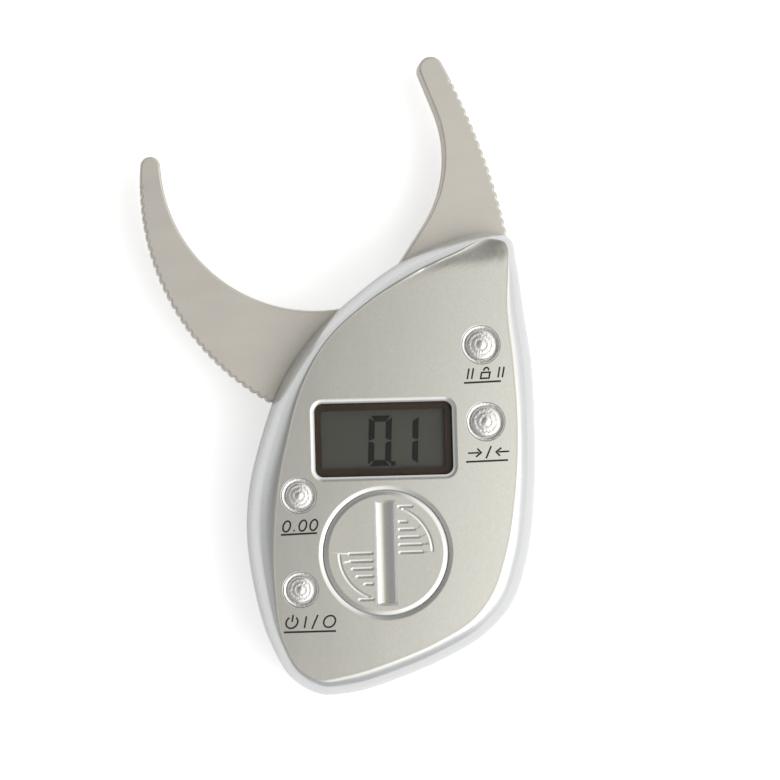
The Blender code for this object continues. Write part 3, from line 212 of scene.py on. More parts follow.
def metal(name, colour, roughness, streaks=600, stretch=(1, 8, 1)):
    n = Nodes(name)
    grain = n.noise(streaks, 3, stretch=stretch)
    stain = n.noise(220, 4)
    base = n.mix(stain, colour, scaled(colour, 0.78), 0.5)
    rough = n.around(grain, roughness, 0.18)
    return n.shader(Base_Color=base, Metallic=1.0, Roughness=rough, Normal=n.bump(grain, 0.2, 0.00003))


def bright_plating(name):
    """Plated plastic: bright, slightly rippled, with a darker film in patches."""
    n = Nodes(name)
    ripple = n.noise(2200, 2)
    film = n.noise(500, 3)
    base = n.mix(film, rgb(244, 243, 239), rgb(206, 203, 196), 0.6)
    rough = n.math("ADD", 0.16, n.math("MULTIPLY", ripple, 0.12))
    return n.shader(Base_Color=base, Metallic=0.8, Roughness=rough, Normal=n.bump(ripple, 0.9, 0.00009))


def moulded(name, colour, roughness, texture=900, specular=0.5):
    """Plain moulded plastic with a fine texture."""
    n = Nodes(name)
    grain = n.noise(texture, 3)
    stain = n.noise(120, 3)
    base = n.mix(stain, colour, scaled(colour, 1.35, 0.004))
    rough = n.around(grain, roughness, 0.2)
    normal = n.bump(grain, 0.25, 0.00004)
    return n.shader(Base_Color=base, Roughness=rough, Specular_IOR_Level=specular, Normal=normal)


def clear_lens():
    """Acrylic over the display: clear, with faint hairline scratches."""
    n = Nodes("clear_lens")
    scratch = n.noise(320, 5, stretch=(1, 14, 1), distortion=0.2)
    rough = n.math("ADD", 0.03, n.math("MULTIPLY", n.math("POWER", scratch, 5.0), 0.5))
    clear = n.add("BsdfTransparent", {"Color": (0.95, 0.95, 0.94, 1)})
    gloss = n.add("BsdfGlossy", {"Color": WHITE, "Roughness": rough})
    return n.finish(n.add("MixShader", {0: 0.012, 1: clear.outputs[0], 2: gloss.outputs[0]}))


def display_glass():
    """The grey panel, with the faint grid of its cells."""
    n = Nodes("display_glass")
    cloud = n.noise(70, 3)
    cells = n.noise(2600, 1)
    base = n.mix(cloud, rgb(80, 81, 76), rgb(91, 91, 85))
    base = n.mix(cells, base, rgb(112, 112, 104), 0.10)
    normal = n.bump(cells, 0.06, 0.00001)
    return n.shader(Base_Color=base, Roughness=0.4, Specular_IOR_Level=0.2, Normal=normal)


def board_lacquer():
    """Green lacquer over the weave of the board."""
    n = Nodes("board_lacquer")
    checks = {"Vector": n.place(), "Scale": 1800.0}
    checks.update(Color1=(0.02, 0.15, 0.06, 1), Color2=(0.03, 0.19, 0.08, 1))
    weave = n.add("TexChecker", checks).outputs["Color"]
    cloud = n.noise(90, 3)
    base = n.mix(cloud, weave, (0.015, 0.11, 0.045, 1), 0.4)
    return n.shader(Base_Color=base, Roughness=0.32, Coat_Weight=0.4, Normal=n.bump(cloud, 0.1, 0.00003))


def ink(name, colour, thin):
    """Printed ink: it lets a little of what it lies on through, more in some spots."""
    n = Nodes(name)
    grain = n.noise(2200, 2)
    base = n.mix(grain, colour, thin, 0.35)
    normal = n.bump(grain, 0.1, 0.00001)
    return n.shader(Base_Color=base, Roughness=0.5, Specular_IOR_Level=0.15, Normal=normal)


# The first colour is the flat face's silver; the second is the painted reflection on its sloping rims and
# bevels
SILVER = silver_with_painted_rim_sheen("silver_with_painted_rim_sheen", rgb(218, 216, 205), rgb(232, 233, 233))
JAW = satin_jaw("satin_jaw", rgb(214, 209, 198))
PLATING = bright_plating("bright_plating")
STEEL = metal("steel", (0.56, 0.56, 0.57, 1), 0.28)
DOME = metal("dome_steel", (0.62, 0.61, 0.58, 1), 0.22, 900)
BRASS = metal("contact_brass", (0.72, 0.55, 0.26, 1), 0.3)
GOLD = metal("track_gold", (0.70, 0.50, 0.20, 1), 0.34)
BRONZE = metal("sintered_bronze", (0.45, 0.30, 0.14, 1), 0.42, 1400, stretch=(1, 1, 1))
BORDER = moulded("dark_border", rgb(60, 48, 34), 0.5, specular=0.1)
CHIP = moulded("chip_resin", (0.015, 0.015, 0.016, 1), 0.35, 600)
STRIP = moulded("strip_rubber", (0.22, 0.22, 0.24, 1), 0.7)
GLASS = display_glass()
LENS = clear_lens()
BOARD = board_lacquer()
SEGMENT = ink("segment", rgb(22, 22, 20), rgb(44, 43, 39))
PRINT = ink("print", rgb(38, 34, 30), rgb(84, 80, 72))


def dress(material, *names):
    for name in names:
        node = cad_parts[name]
        node.data.materials.clear()
        node.data.materials.append(material)


dress(SILVER, "rear_cover", "front_cover", "battery_door")
dress(JAW, "fixed_jaw", "moving_jaw")
dress(PLATING, "hold_button", "units_button", "zero_button", "power_button")
dress(DOME, "hold_dome", "units_dome", "zero_dome", "power_dome")
dress(STEEL, "coin_cell", "pivot_washer", "pivot_screw", "jaw_spring")
dress(STEEL, *[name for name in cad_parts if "_screw_" in name])
dress(BRASS, "battery_contact_positive", "battery_contact_negative", "sensor_wiper")
dress(GOLD, "sensor_track")
dress(BRONZE, "hub_bushing")
dress(BORDER, "lcd_frame")
dress(GLASS, "lcd_panel")
dress(LENS, "lcd_lens")
dress(CHIP, "controller_chip")
dress(STRIP, "zebra_strip_upper", "zebra_strip_lower")
dress(BOARD, "main_board")

# Places and heights, read from the frame


def middle_of(node):
    low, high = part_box(node)
    return (low + high) / 2


def half_width(node):
    low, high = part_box(node)
    return (high.x - low.x) / 2


CLEARANCE = 0.3 * MM
OVERRUN = 2 * MM
WALL = 1.6 * MM
JAW_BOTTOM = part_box("fixed_jaw")[0].z
JAW_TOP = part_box("fixed_jaw")[1].z
PARTING = (JAW_BOTTOM + JAW_TOP) / 2
DOOR_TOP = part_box("battery_door")[1].z
DOOR_SINK = 0.2 * MM
FACE_TOP = DOOR_TOP + DOOR_SINK
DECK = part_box("main_board")[1].z + CLEARANCE
GLASS_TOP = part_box("lcd_panel")[1].z
DISPLAY_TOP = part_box("lcd_frame")[1].z
CELL = middle_of("battery_door").xy
WINDOW = middle_of("lcd_lens").xy

# Mesh helpers

CAP_SIDES = 8
LEAST_MITRE = 0.5


def mesh_from(bm, name, angle=30, flat_caps=False):
    bmesh.ops.recalc_face_normals(bm, faces=bm.faces)
    mesh = bpy.data.meshes.new(name)
    bm.to_mesh(mesh)
    bm.free()
    smooth(mesh, angle, flat_caps)
    return mesh


def smooth(mesh, angle=30, flat_caps=False):
    """Smooth shading up to the angle. Flat caps keep the edges of many-sided faces crisp."""
    mesh.shade_smooth()
    mesh.set_sharp_from_angle(angle=math.radians(angle))
    if flat_caps:
        for face in mesh.polygons:
            if len(face.vertices) > CAP_SIDES:
                for loop in face.loop_indices:
                    mesh.edges[mesh.loops[loop].edge_index].use_edge_sharp = True


def link(name, data):
    thing = bpy.data.objects.new(name, data)
    bpy.context.scene.collection.objects.link(thing)
    return thing


def loft(name, rings, ends=(None, None), flat_caps=False):
    """A skin through rings of as many points each. Either end is a fan to its point or else flat."""
    bm = bmesh.new()
    rows = [[bm.verts.new(point) for point in ring] for ring in rings]
    for lower, upper in zip(rows, rows[1:]):
        for i in range(len(lower)):
            bm.faces.new((lower[i - 1], lower[i], upper[i], upper[i - 1]))
    for row, point in zip((rows[0][::-1], rows[-1]), ends):
        if point is None:
            bm.faces.new(row)
        else:
            middle = bm.verts.new(point)
            for i in range(len(row)):
                bm.faces.new((row[i - 1], row[i], middle))
    return mesh_from(bm, name, flat_caps=flat_caps)


def turned(name, profile, place=(0, 0), steps=96, angle=30):
    """A turned shape. The profile's (radius, height) points run down its outer side."""
    bm = bmesh.new()
    rows = []
    for radius, height in profile:
        turns = [2 * math.pi * k / steps for k in range(steps if radius > 0 else 1)]
        ring = [(radius * math.cos(a), radius * math.sin(a)) for a in turns]
        rows.append([bm.verts.new((place[0] + x, place[1] + y, height)) for x, y in ring])
    for upper, lower in zip(rows, rows[1:]):
        for k in range(steps):
            corners = []
            for row, index in ((upper, k), (lower, k), (lower, k + 1), (upper, k + 1)):
                corner = row[index % len(row)]
                if corner not in corners:
                    corners.append(corner)
            if len(corners) > 2:
                bm.faces.new(corners)
    return mesh_from(bm, name, angle)


def spoke(centre, radius, angle):
    """The point at the radius from the centre, at the angle in degrees."""
    turn = math.radians(angle)
    return (centre[0] + radius * math.cos(turn), centre[1] + radius * math.sin(turn))


def arc(centre, radius, start, end, steps):
    return [spoke(centre, radius, start + (end - start) * i / steps) for i in range(steps + 1)]


def rounded_rectangle(width, height, corner, centre=(0, 0), steps=10):
    points = []
    for turn, (across, along) in enumerate(((1, 1), (-1, 1), (-1, -1), (1, -1))):
        middle = (centre[0] + across * (width / 2 - corner), centre[1] + along * (height / 2 - corner))
        points += arc(middle, corner, 90 * turn, 90 * turn + 90, steps)
    return points


def drawn_in(outline, inset):
    """The outline, counterclockwise, moved inward by the inset with mitred corners."""
    moved = []
    count = len(outline)
    for i in range(count):
        before, here, after = (Vector(outline[(i + k) % count]) for k in (-1, 0, 1))
        first = (here - before).normalized()
        second = (after - here).normalized()
        inner = Vector((-first.y - second.y, first.x + second.x)).normalized()
        lean = max(LEAST_MITRE, inner.dot(Vector((-first.y, first.x))))
        moved.append(here + inner * inset / lean)
    return moved


def level(outline, inset, height):
    """A ring at the height, inside the outline by the inset."""
    return [(*point, height) for point in drawn_in(outline, inset)]


def slab(name, outline, bottom, top, edge, edge_steps=4):
    """A plate with its outline's edges rounded over at both faces."""
    quarter = [math.pi / 2 * k / edge_steps for k in range(edge_steps + 1)]
    levels = [(edge * (1 - math.sin(a)), bottom + edge * (1 - math.cos(a))) for a in quarter]
    levels += [(edge * (1 - math.sin(a)), top - edge * (1 - math.cos(a))) for a in reversed(quarter)]
    return loft(name, [level(outline, *step) for step in levels], flat_caps=True)


def prism(name, outline, bottom, top):
    return loft(name, [[(*point, bottom) for point in outline], [(*point, top) for point in outline]])


def carve(mesh, cutters, operation="DIFFERENCE", angle=30, flat_caps=False):
    """The mesh less the cutters, or joined with them, in one exact Boolean."""
    group = bpy.data.collections.new("tools")
    tools = []
    for cutter in cutters:
        tool = bpy.data.objects.new("tool", cutter)
        group.objects.link(tool)
        tools.append(tool)
    body = link("body", mesh)
    change = body.modifiers.new("carve", "BOOLEAN")
    change.operation = operation
    change.operand_type = "COLLECTION"
    change.collection = group
    change.solver = "EXACT"
    bpy.context.view_layer.update()
    result = bpy.data.meshes.new_from_object(body.evaluated_get(bpy.context.evaluated_depsgraph_get()))
    for thing in (body, *tools):
        bpy.data.objects.remove(thing)
    bpy.data.collections.remove(group)
    result.materials.clear()
    smooth(result, angle, flat_caps)
    return result


def present(name, mesh, material, body, slot, *nodes):
    """A piece in the material that rides on the body and stands for the nodes. Its slot is not used."""
    piece = link(name, mesh)
    mesh.materials.clear()
    mesh.materials.append(material)
    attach(piece, body)
    if nodes:
        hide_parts(*nodes)


# Housing, whose outline and heights follow the CAD model's in finer steps

HOUSING_WIDTH = 63.7 * MM
HOUSING_LENGTH = 100.3 * MM
PIVOT_SHARES = (0.4584, 0.7149)
RIM_WIDTH = 5.5 * MM
BACK_RIM_WIDTH = 4.2 * MM
FACE_CROWN = 0.6 * MM
LIP_RISE = 0.012 * MM
LIP_SHARE = 0.997
NEAR_FACE = 0.003 * MM
SLOPE_STEP = 0.05 * MM
NEARLY_UPRIGHT = 0.95
UPRIGHT = 0.9999
# Each row is a share of the width from the left, of the length from the foot, and of the rim's width
OUTLINE_SHARES = (
    (0.930, 0.986, 0.28),
    (0.841, 1.000, 0.34),
    (0.702, 0.982, 0.64),
    (0.553, 0.942, 0.69),
    (0.389, 0.870, 0.54),
    (0.243, 0.785, 0.52),
    (0.126, 0.679, 0.74),
    (0.060, 0.570, 0.91),
    (0.010, 0.447, 1.02),
    (0.000, 0.375, 1.00),
    (0.022, 0.232, 0.71),
    (0.075, 0.112, 0.42),
    (0.141, 0.039, 0.46),
    (0.237, 0.003, 0.68),
    (0.333, 0.004, 0.80),
    (0.518, 0.035, 0.84),
    (0.658, 0.070, 0.85),
    (0.812, 0.125, 0.92),
    (0.903, 0.187, 1.06),
    (0.958, 0.281, 1.06),
    (0.991, 0.416, 0.98),
    (1.000, 0.575, 0.89),
    (0.994, 0.720, 0.93),
    (0.970, 0.839, 0.83),
    (0.950, 0.935, 0.50),
)
OUTLINE_STEPS = 10
# Height and inset of the moulded rim, from the parting line to the edge of the face
FRONT_RIM_SHARES = ((0.0, 0.0), (0.40, 0.03), (0.68, 0.19), (0.86, 0.46), (0.96, 0.76), (1.0, 1.0))
FACE_SHARES = (1.0, 1.08)
BACK_RIM_SHARES = ((0.0, 0.0), (0.45, 0.04), (0.76, 0.26), (0.94, 0.64), (1.0, 1.0))
FRONT_INSIDE_SHARES = ((0.80, 0.36), (0.50, 0.08), (0.0, 0.0))
BACK_INSIDE_SHARES = ((1.0, 0.43), (0.72, 0.12), (0.0, 0.0))
CEILING_SHARES = (0.80, 0.95)
RIM_STEPS = 4
FACE_RINGS = 30
FACE_CROWDING = 1.25
HOLLOW_SHARES = (0.846, 0.965)
HOLLOW_LENGTH = 6.5 * MM
HOLLOW_WIDTHS = (0.9 * MM, 3.4 * MM)
HOLLOW_DEPTH = 1.0 * MM
HOLLOW_FADE = 0.03 * MM
HOLLOW_SIDE_FADE = 3.2 * MM
HOLLOW_REACH = 3.2
TOP_EDGE_POINTS = 45


def on_housing(across, along):
    x_share, y_share = PIVOT_SHARES
    return Vector(((across - x_share) * HOUSING_WIDTH, (along - y_share) * HOUSING_LENGTH))


MIDDLE = on_housing(0.5, 0.5)
HOLLOW = on_housing(*HOLLOW_SHARES)


def smooth_span(before, start, end, after, steps):
    """Points from the start towards the end, with slopes weighted by the spans on either side."""
    spans = [(b.xy - a.xy).length for a, b in ((before, start), (start, end), (end, after))]
    leave = (start - before) * (spans[1] / spans[0]) + (end - start) * (spans[0] / spans[1])
    reach = (end - start) * (spans[2] / spans[1]) + (after - end) * (spans[1] / spans[2])
    leave *= spans[1] / (spans[0] + spans[1])
    reach *= spans[1] / (spans[1] + spans[2])
    points = []
    for k in range(steps):
        t = k / steps
        points.append(
            start * (1 + t * t * (2 * t - 3))
            + leave * (t * (1 - t) * (1 - t))
            + end * (t * t * (3 - 2 * t))
            + reach * (t * t * (t - 1))
        )
    return points


def smooth_loop(points, steps):
    loop = []
    count = len(points)
    for i in range(count):
        loop += smooth_span(*(points[(i + k) % count] for k in (-1, 0, 1, 2)), steps)
    return loop


def smooth_line(shares, steps, after=None):
    """A smooth line through the shares, which heads past its end for the point after it."""
    points = [Vector(pair) for pair in shares]
    beyond = Vector(after) if after else 2 * points[-1] - points[-2]
    points = [2 * points[0] - points[1], *points, beyond]
    line = []
    for i in range(1, len(points) - 2):
        line += smooth_span(*points[i - 1 : i + 3], steps)
    return [*line, points[-2]]


def housing_loop():
    rows = []
    for across, along, rim in OUTLINE_SHARES:
        rows.append(Vector((*on_housing(across, along), rim * RIM_WIDTH)))
    low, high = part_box("front_cover")
    loop = smooth_loop(rows, OUTLINE_STEPS)
    for point in loop:
        point.x = min(high.x, max(low.x, point.x))
        point.y = min(high.y, max(low.y, point.y))
    return loop


def inward(i):
    along = LOOP[(i + 1) % len(LOOP)].xy - LOOP[i - 1].xy
    return Vector((-along.y, along.x)).normalized()


def bend_radius(i):
    """Radius of the outline's bend at a point, from its neighbours on both sides."""
    first, here, last = (LOOP[(i + k) % len(LOOP)].xy for k in (-BEND_SPAN, 0, BEND_SPAN))
    sides = (here - first).length * (last - here).length * (first - last).length
    return sides / max(MM * MM * MM, 2 * abs((here - first).cross(last - first)))


def room(i):
    """How far the rim may reach in at a point without folding over itself in a tight corner."""
    return ROOM_SHARE * min(BENDS[(i + k) % len(BENDS)] for k in range(-BEND_SPAN, BEND_SPAN + 1))


def evened(values, reach):
    """Each value averaged with its neighbours round the loop."""
    count = len(values)
    spread = range(-reach, reach + 1)
    return [sum(values[(i + k) % count] for k in spread) / len(spread) for i in range(count)]


def relaxed(edge):
    """The edge with its tight upper right corner eased, which takes any fold out of it."""
    for _ in range(CORNER_ROUNDS):
        for i in range(-CORNER_BEFORE, CORNER_AFTER):
            edge[i] = (edge[i - 1] + edge[i + 1]) / 2
    return edge


BEND_SPAN = 3
ROOM_SHARE = 0.8
CORNER_BEFORE = 14
CORNER_AFTER = 9
CORNER_ROUNDS = 12
LOOP = housing_loop()
INWARD = [inward(i) for i in range(len(LOOP))]
BENDS = [min(bend_radius(i), HOUSING_WIDTH) for i in range(len(LOOP))]
ROOM = evened([min(room(i), RIM_WIDTH * 2) for i in range(len(LOOP))], BEND_SPAN)
REACH = [min(point.z, limit) for point, limit in zip(LOOP, ROOM)]
FACE_EDGE = relaxed([point.xy + inner * reach for point, inner, reach in zip(LOOP, INWARD, REACH)])
TOP_EDGE = [(FACE_EDGE[i], FACE_EDGE[i + 1]) for i in range(TOP_EDGE_POINTS)]
SIDE_EDGE = [(FACE_EDGE[-i - 1], FACE_EDGE[-i]) for i in range(1, TOP_EDGE_POINTS)]


def face_height(x, y):
    across = (x - MIDDLE.x) / (HOUSING_WIDTH / 2)
    along = (y - MIDDLE.y) / (HOUSING_LENGTH / 2)
    return FACE_TOP - FACE_CROWN * (across * across + along * along)


def edge_distance(place, edge):
    """How far a place on the face lies from a stretch of the lip."""
    nearest = HOUSING_LENGTH
    for start, end in edge:
        span = end - start
        share = (place - start).dot(span) / span.length_squared
        foot = start + span * min(1, max(0, share))
        nearest = min(nearest, (place - foot).length)
    return nearest


def bell(distance, width):
    return math.exp(-(distance / width) ** 2)


def hollow(x, y):
    """Depth of the soft hollow inside the top lip: a long slope down to the lip, then a short wall."""
    place = Vector((x, y))
    away = (place - HOLLOW).length
    if away > HOLLOW_LENGTH * HOLLOW_REACH:
        return 0.0
    inset = edge_distance(place, TOP_EDGE)
    near = bell(away, HOLLOW_LENGTH)
    width = HOLLOW_WIDTHS[0] + (HOLLOW_WIDTHS[1] - HOLLOW_WIDTHS[0]) * near
    side = bell(edge_distance(place, SIDE_EDGE), HOLLOW_SIDE_FADE)
    walls = (1 - bell(inset, HOLLOW_FADE)) * (1 - side)
    return HOLLOW_DEPTH * math.sqrt(near) * walls * bell(inset, width)


def surface(x, y):
    return face_height(x, y) - hollow(x, y)


def upright_at(x, y):
    """The face's own direction at a place, from its height to either side."""
    step = SLOPE_STEP
    rise_x = (surface(x + step, y) - surface(x - step, y)) / (2 * step)
    rise_y = (surface(x, y + step) - surface(x, y - step)) / (2 * step)
    return Vector((-rise_x, -rise_y, 1)).normalized()


def follow_face(mesh):
    """Gives the corners that lie on the face its true direction, so cuts leave no marks in its shine."""
    known = {}
    normals = [(0.0, 0.0, 0.0)] * len(mesh.loops)
    for face in mesh.polygons:
        if face.normal.z < NEARLY_UPRIGHT:
            continue
        corners = [mesh.loops[k].vertex_index for k in face.loop_indices]
        for index in corners:
            if index not in known:
                x, y, z = mesh.vertices[index].co
                known[index] = upright_at(x, y) if abs(z - surface(x, y)) < NEAR_FACE else None
        if all(known[index] is not None for index in corners):
            for k, index in zip(face.loop_indices, corners):
                normals[k] = known[index]
    mesh.normals_split_custom_set(normals)


def level_top(mesh, height):
    """Gives the corners of a flat top their true direction, so its bevel's shading stays off it."""
    normals = [(0.0, 0.0, 0.0)] * len(mesh.loops)
    for face in mesh.polygons:
        if face.normal.z > UPRIGHT and abs(face.center.z - height) < NEAR_FACE:
            for k in face.loop_indices:
                normals[k] = (0.0, 0.0, 1.0)
    mesh.normals_split_custom_set(normals)


def rim_ring(rim, depth, height_of):
    ring = []
    for point, inner, edge, reach, limit in zip(LOOP, INWARD, FACE_EDGE, REACH, ROOM):
        if depth > 0:
            place = point.xy + inner * min(reach * rim + depth, limit)
        else:
            place = point.xy.lerp(edge, rim)
        ring.append((*place, height_of(edge)))
    return ring


def face_ring(share, depth):
    """A ring on the face, or below it by the depth."""
    places = [MIDDLE + (edge - MIDDLE) * share for edge in FACE_EDGE]
    return [(*place, surface(*place) - depth) for place in places]


def front_shell():
    foot = PARTING + CLEARANCE / 2
    rings = [face_ring(share, WALL) for share in CEILING_SHARES]
    for rise, rim in FRONT_INSIDE_SHARES:
        rings.append(rim_ring(rim, WALL, lambda edge: foot + rise * (face_height(*edge) - foot)))
    for rise, rim in smooth_line(FRONT_RIM_SHARES, RIM_STEPS, FACE_SHARES):
        rings.append(
            rim_ring(rim, 0, lambda edge: foot + rise * (face_height(*edge) + LIP_RISE - foot))
        )
    rings.append(face_ring(LIP_SHARE, -LIP_RISE))
    for k in range(1, FACE_RINGS):
        rings.append(face_ring(1 - (k / FACE_RINGS) ** FACE_CROWDING, 0))
    middle = face_height(*MIDDLE)
    return loft("front_shell", rings, ((*MIDDLE, middle - WALL), (*MIDDLE, middle)))


def rear_shell():
    top = PARTING - CLEARANCE / 2
    levels = []
    for fall, rim in BACK_INSIDE_SHARES:
        levels.append((WALL + rim * BACK_RIM_WIDTH, WALL + (top - WALL) * (1 - fall)))
    for fall, rim in smooth_line(BACK_RIM_SHARES, RIM_STEPS):
        levels.append((rim * BACK_RIM_WIDTH, top * (1 - fall)))
    rings = [rim_ring(0, depth, lambda edge: height)[::-1] for depth, height in levels]
    return loft("rear_shell", rings, flat_caps=True)


# Openings in the front shell

WINDOW_WIDTH = 29.9 * MM
WINDOW_HEIGHT = 15.9 * MM
WINDOW_CORNER = 1.8 * MM
WINDOW_LIP = 1.0 * MM
BUTTON_LIP = 0.16 * MM
BUTTON_GAP = 0.1 * MM
BUTTON_WELL_WALL = 1.2 * MM
BUTTON_WELL_DEPTH = 3.1 * MM
DOOR_RADIUS = half_width("battery_door")
DOOR_THICKNESS = 1.8 * MM
DOOR_BOTTOM = DOOR_TOP - DOOR_THICKNESS
RECESS_RADIUS = DOOR_RADIUS + CLEARANCE
RECESS_FLOOR = DOOR_BOTTOM - CLEARANCE
RECESS_LIP = 0.9 * MM
RECESS_SLOPES = (7, 26)
RECESS_STEPS = 144
WELL_WALL = 1.2 * MM
WELL_STEPS = 96
# Lips leave the face at the first slope, in degrees, and end at the second
LIP_SLOPES = (7, 46)
LIP_STEPS = 7
LIP_REACH = 0.5 * MM
BUTTON_FLANGE = 0.8 * MM
BUTTONS = {}
for button in ("hold", "units", "zero", "power"):
    node = f"{button}_button"
    BUTTONS[button] = (middle_of(node).xy, half_width(node) - BUTTON_FLANGE)

MOVING_BACK = Vector((3.83, 39.95)) * MM
MOVING_TIP = Vector((-48.5, 44.7)) * MM
MOVING_TIP_RADIUS = 2.2 * MM
MOVING_BACK_ROOT = -114
STOP_SPREAD = 16
STOP_STEPS = 12
ROOT_SHOULDER = 22.096 * MM
ROOT_LEFT = 11.979 * MM


def jaw_slot():
    """The gap in both shells for the jaws, from the open stop round the top to the fixed jaw."""
    radius = (MOVING_TIP - MOVING_BACK).length + MOVING_TIP_RADIUS + CLEARANCE
    stop = arc(MOVING_BACK, radius, MOVING_BACK_ROOT, MOVING_BACK_ROOT - STOP_SPREAD, STOP_STEPS)
    far = HOUSING_LENGTH
    right = ROOT_SHOULDER - CLEARANCE
    outline = [(0, 0), (ROOT_LEFT, right), (far, right), (far, far), (-far, far), (-far, stop[-1][1])]
    outline += reversed(stop)
    return prism("jaw_slot", outline, JAW_BOTTOM - CLEARANCE, JAW_TOP + CLEARANCE)


def rounded_edge(width, slopes=LIP_SLOPES, steps=LIP_STEPS):
    """How far out and how deep an edge lies, from where it leaves a flat face to its steep end."""
    first, last = (math.radians(slope) for slope in slopes)
    radius = width / (math.sin(last) - math.sin(first))
    points = []
    for k in range(steps + 1):
        slope = first + (last - first) * k / steps
        inset = radius * (math.sin(slope) - math.sin(first))
        points.append((width - inset, radius * (math.cos(first) - math.cos(slope))))
    return points


def lip_levels(width, face, bottom, slopes=LIP_SLOPES):
    """A bore's flare and height, from above the face down its rounded lip to the bottom."""
    rise = LIP_REACH * math.tan(math.radians(slopes[0]))
    levels = [(width + LIP_REACH, face + OVERRUN), (width + LIP_REACH, face + rise)]
    levels += [(flare, face - depth) for flare, depth in rounded_edge(width, slopes)]
    return [*levels, (0, bottom)]


def draped(mesh, place):
    """Bends a cutter's upper part to the crown of the face, so that its lip is even all round."""
    middle = face_height(*place)
    for vertex in mesh.vertices:
        if vertex.co.z > middle - OVERRUN / 2:
            vertex.co.z += face_height(vertex.co.x, vertex.co.y) - middle
    return mesh


def lipped_bore(place, radius, width, bottom, steps=96, slopes=LIP_SLOPES):
    levels = lip_levels(width, face_height(*place), bottom, slopes)
    profile = [(0, levels[0][1]), *((radius + flare, height) for flare, height in levels), (0, bottom)]
    return draped(turned("bore", profile, place, steps), place)


def window_bore():
    rings = []
    for flare, height in reversed(lip_levels(WINDOW_LIP, face_height(*WINDOW), DISPLAY_TOP - OVERRUN)):
        size = (WINDOW_WIDTH + 2 * flare, WINDOW_HEIGHT + 2 * flare)
        outline = rounded_rectangle(*size, WINDOW_CORNER + flare, WINDOW)
        rings.append([(x, y, height) for x, y in outline])
    return draped(loft("window_bore", rings), WINDOW)


def pillar(place, radius, bottom, top, steps=48):
    return turned("pillar", ((0, top), (radius, top), (radius, bottom), (0, bottom)), place, steps)


def build_front():
    rib_top = FACE_TOP - WALL + CLEARANCE
    wells = [pillar(CELL, RECESS_RADIUS + WELL_WALL, DECK, rib_top, WELL_STEPS)]
    recess = lipped_bore(CELL, RECESS_RADIUS, RECESS_LIP, RECESS_FLOOR, RECESS_STEPS, RECESS_SLOPES)
    bores = [window_bore(), recess]
    for place, radius in BUTTONS.values():
        bottom = FACE_TOP - BUTTON_WELL_DEPTH
        wells.append(pillar(place, radius + BUTTON_WELL_WALL, bottom, rib_top))
        bores.append(lipped_bore(place, radius + BUTTON_GAP, BUTTON_LIP, bottom - OVERRUN / 2))
    mesh = carve(front_shell(), [jaw_slot()])
    mesh = carve(mesh, wells, "UNION")
    mesh = carve(mesh, bores)
    follow_face(mesh)
    present("front_shell", mesh, SILVER, "housing", "housing_plastic", "front_cover")


SCREW_BORE = 2.4 * MM
SCREW_SEAT = 2.6 * MM
SCREW_EASE = 0.25 * MM
CASE_SCREWS = [middle_of(f"case_screw_{i}").xy for i in range(1, 5)]
FOOT_RADIUS = 3.3 * MM
SHANK_BORE = 1.3 * MM
BORE_STEPS = 64


def build_rear():
    """The back, with a foot and a stepped bore for each case screw."""
    high = PARTING + OVERRUN
    wide = SCREW_BORE + SCREW_EASE
    profile = [(0, high), (SHANK_BORE, high), (SHANK_BORE, SCREW_SEAT), (SCREW_BORE, SCREW_SEAT)]
    profile += [(SCREW_BORE, SCREW_EASE), (wide, 0), (wide, -OVERRUN), (0, -OVERRUN)]
    bores = [turned("bore", profile, place, BORE_STEPS) for place in CASE_SCREWS]
    top = PARTING - CLEARANCE / 2
    feet = [pillar(place, FOOT_RADIUS, WALL - CLEARANCE, top) for place in CASE_SCREWS]
    mesh = carve(rear_shell(), [jaw_slot()], flat_caps=True)
    mesh = carve(mesh, feet, "UNION", flat_caps=True)
    mesh = carve(mesh, bores, flat_caps=True)
    present("rear_shell", mesh, SILVER, "housing", "housing_plastic", "rear_cover")


build_front()
build_rear()

# Jaws

TOOTH_PITCH = 2 * MM
TOOTH_DEPTH = 0.38 * MM
# Along a tooth and how far its edge lies below the tooth's top
TOOTH_SHARES = (
    (0.0, 1.0), (0.10, 0.92), (0.22, 0.40), (0.32, 0.08),
    (0.42, 0.0), (0.66, 0.0), (0.80, 0.18), (0.92, 0.72),
)
TOOTHLESS_TIP = 4.6 * MM
TOOTHLESS_STEPS = 5
TIP_STEPS = 20
ARC_SPACING = 0.9 * MM
ARC_LEAST_STEPS = 6
EDGE_ROUND = 0.5 * MM
MOVING_BOW = Vector((-12.86, 45.87)) * MM
MOVING_BOW_RADIUS = 33.45 * MM
MOVING_BOW_ROOT = -80
HUB_RADIUS = 9.5 * MM
HUB_STEPS = 40
HUB_BORE_STEPS = 96
FIXED_BOW = Vector((-11.5, 46.5)) * MM
FIXED_BOW_RADIUS = 27.6 * MM
FIXED_BACK = Vector((-106.54, 1.66)) * MM
FIXED_TIP = Vector((13.7, 65.4)) * MM
FIXED_TIP_RADIUS = 2.75 * MM
FIXED_BOW_ROOT = Vector((4.8, 21.396)) * MM
ROOT_RIGHT = 28.4 * MM
ROOT_FOOT = 6.96 * MM
ROOT_WAIST = ROOT_SHOULDER - 4.9 * MM


def heading(start, end):
    return math.degrees(math.atan2(end[1] - start[1], end[0] - start[0]))


def arc_steps(radius, start, end):
    return max(ARC_LEAST_STEPS, round(radius * math.radians(abs(end - start)) / ARC_SPACING))


def toothed_back(centre, radius, start, end):
    """The outer edge from the tip to the root: a plain stretch, then saw teeth cut into the arc."""
    side = 1 if end > start else -1
    plain = start + side * math.degrees(TOOTHLESS_TIP / radius)
    points = arc(centre, radius, start, plain, TOOTHLESS_STEPS)
    pitch = side * math.degrees(TOOTH_PITCH / radius)
    for i in range(int((end - plain) / pitch)):
        for along, depth in TOOTH_SHARES:
            points.append(spoke(centre, radius - depth * TOOTH_DEPTH, plain + (i + along) * pitch))
    return points


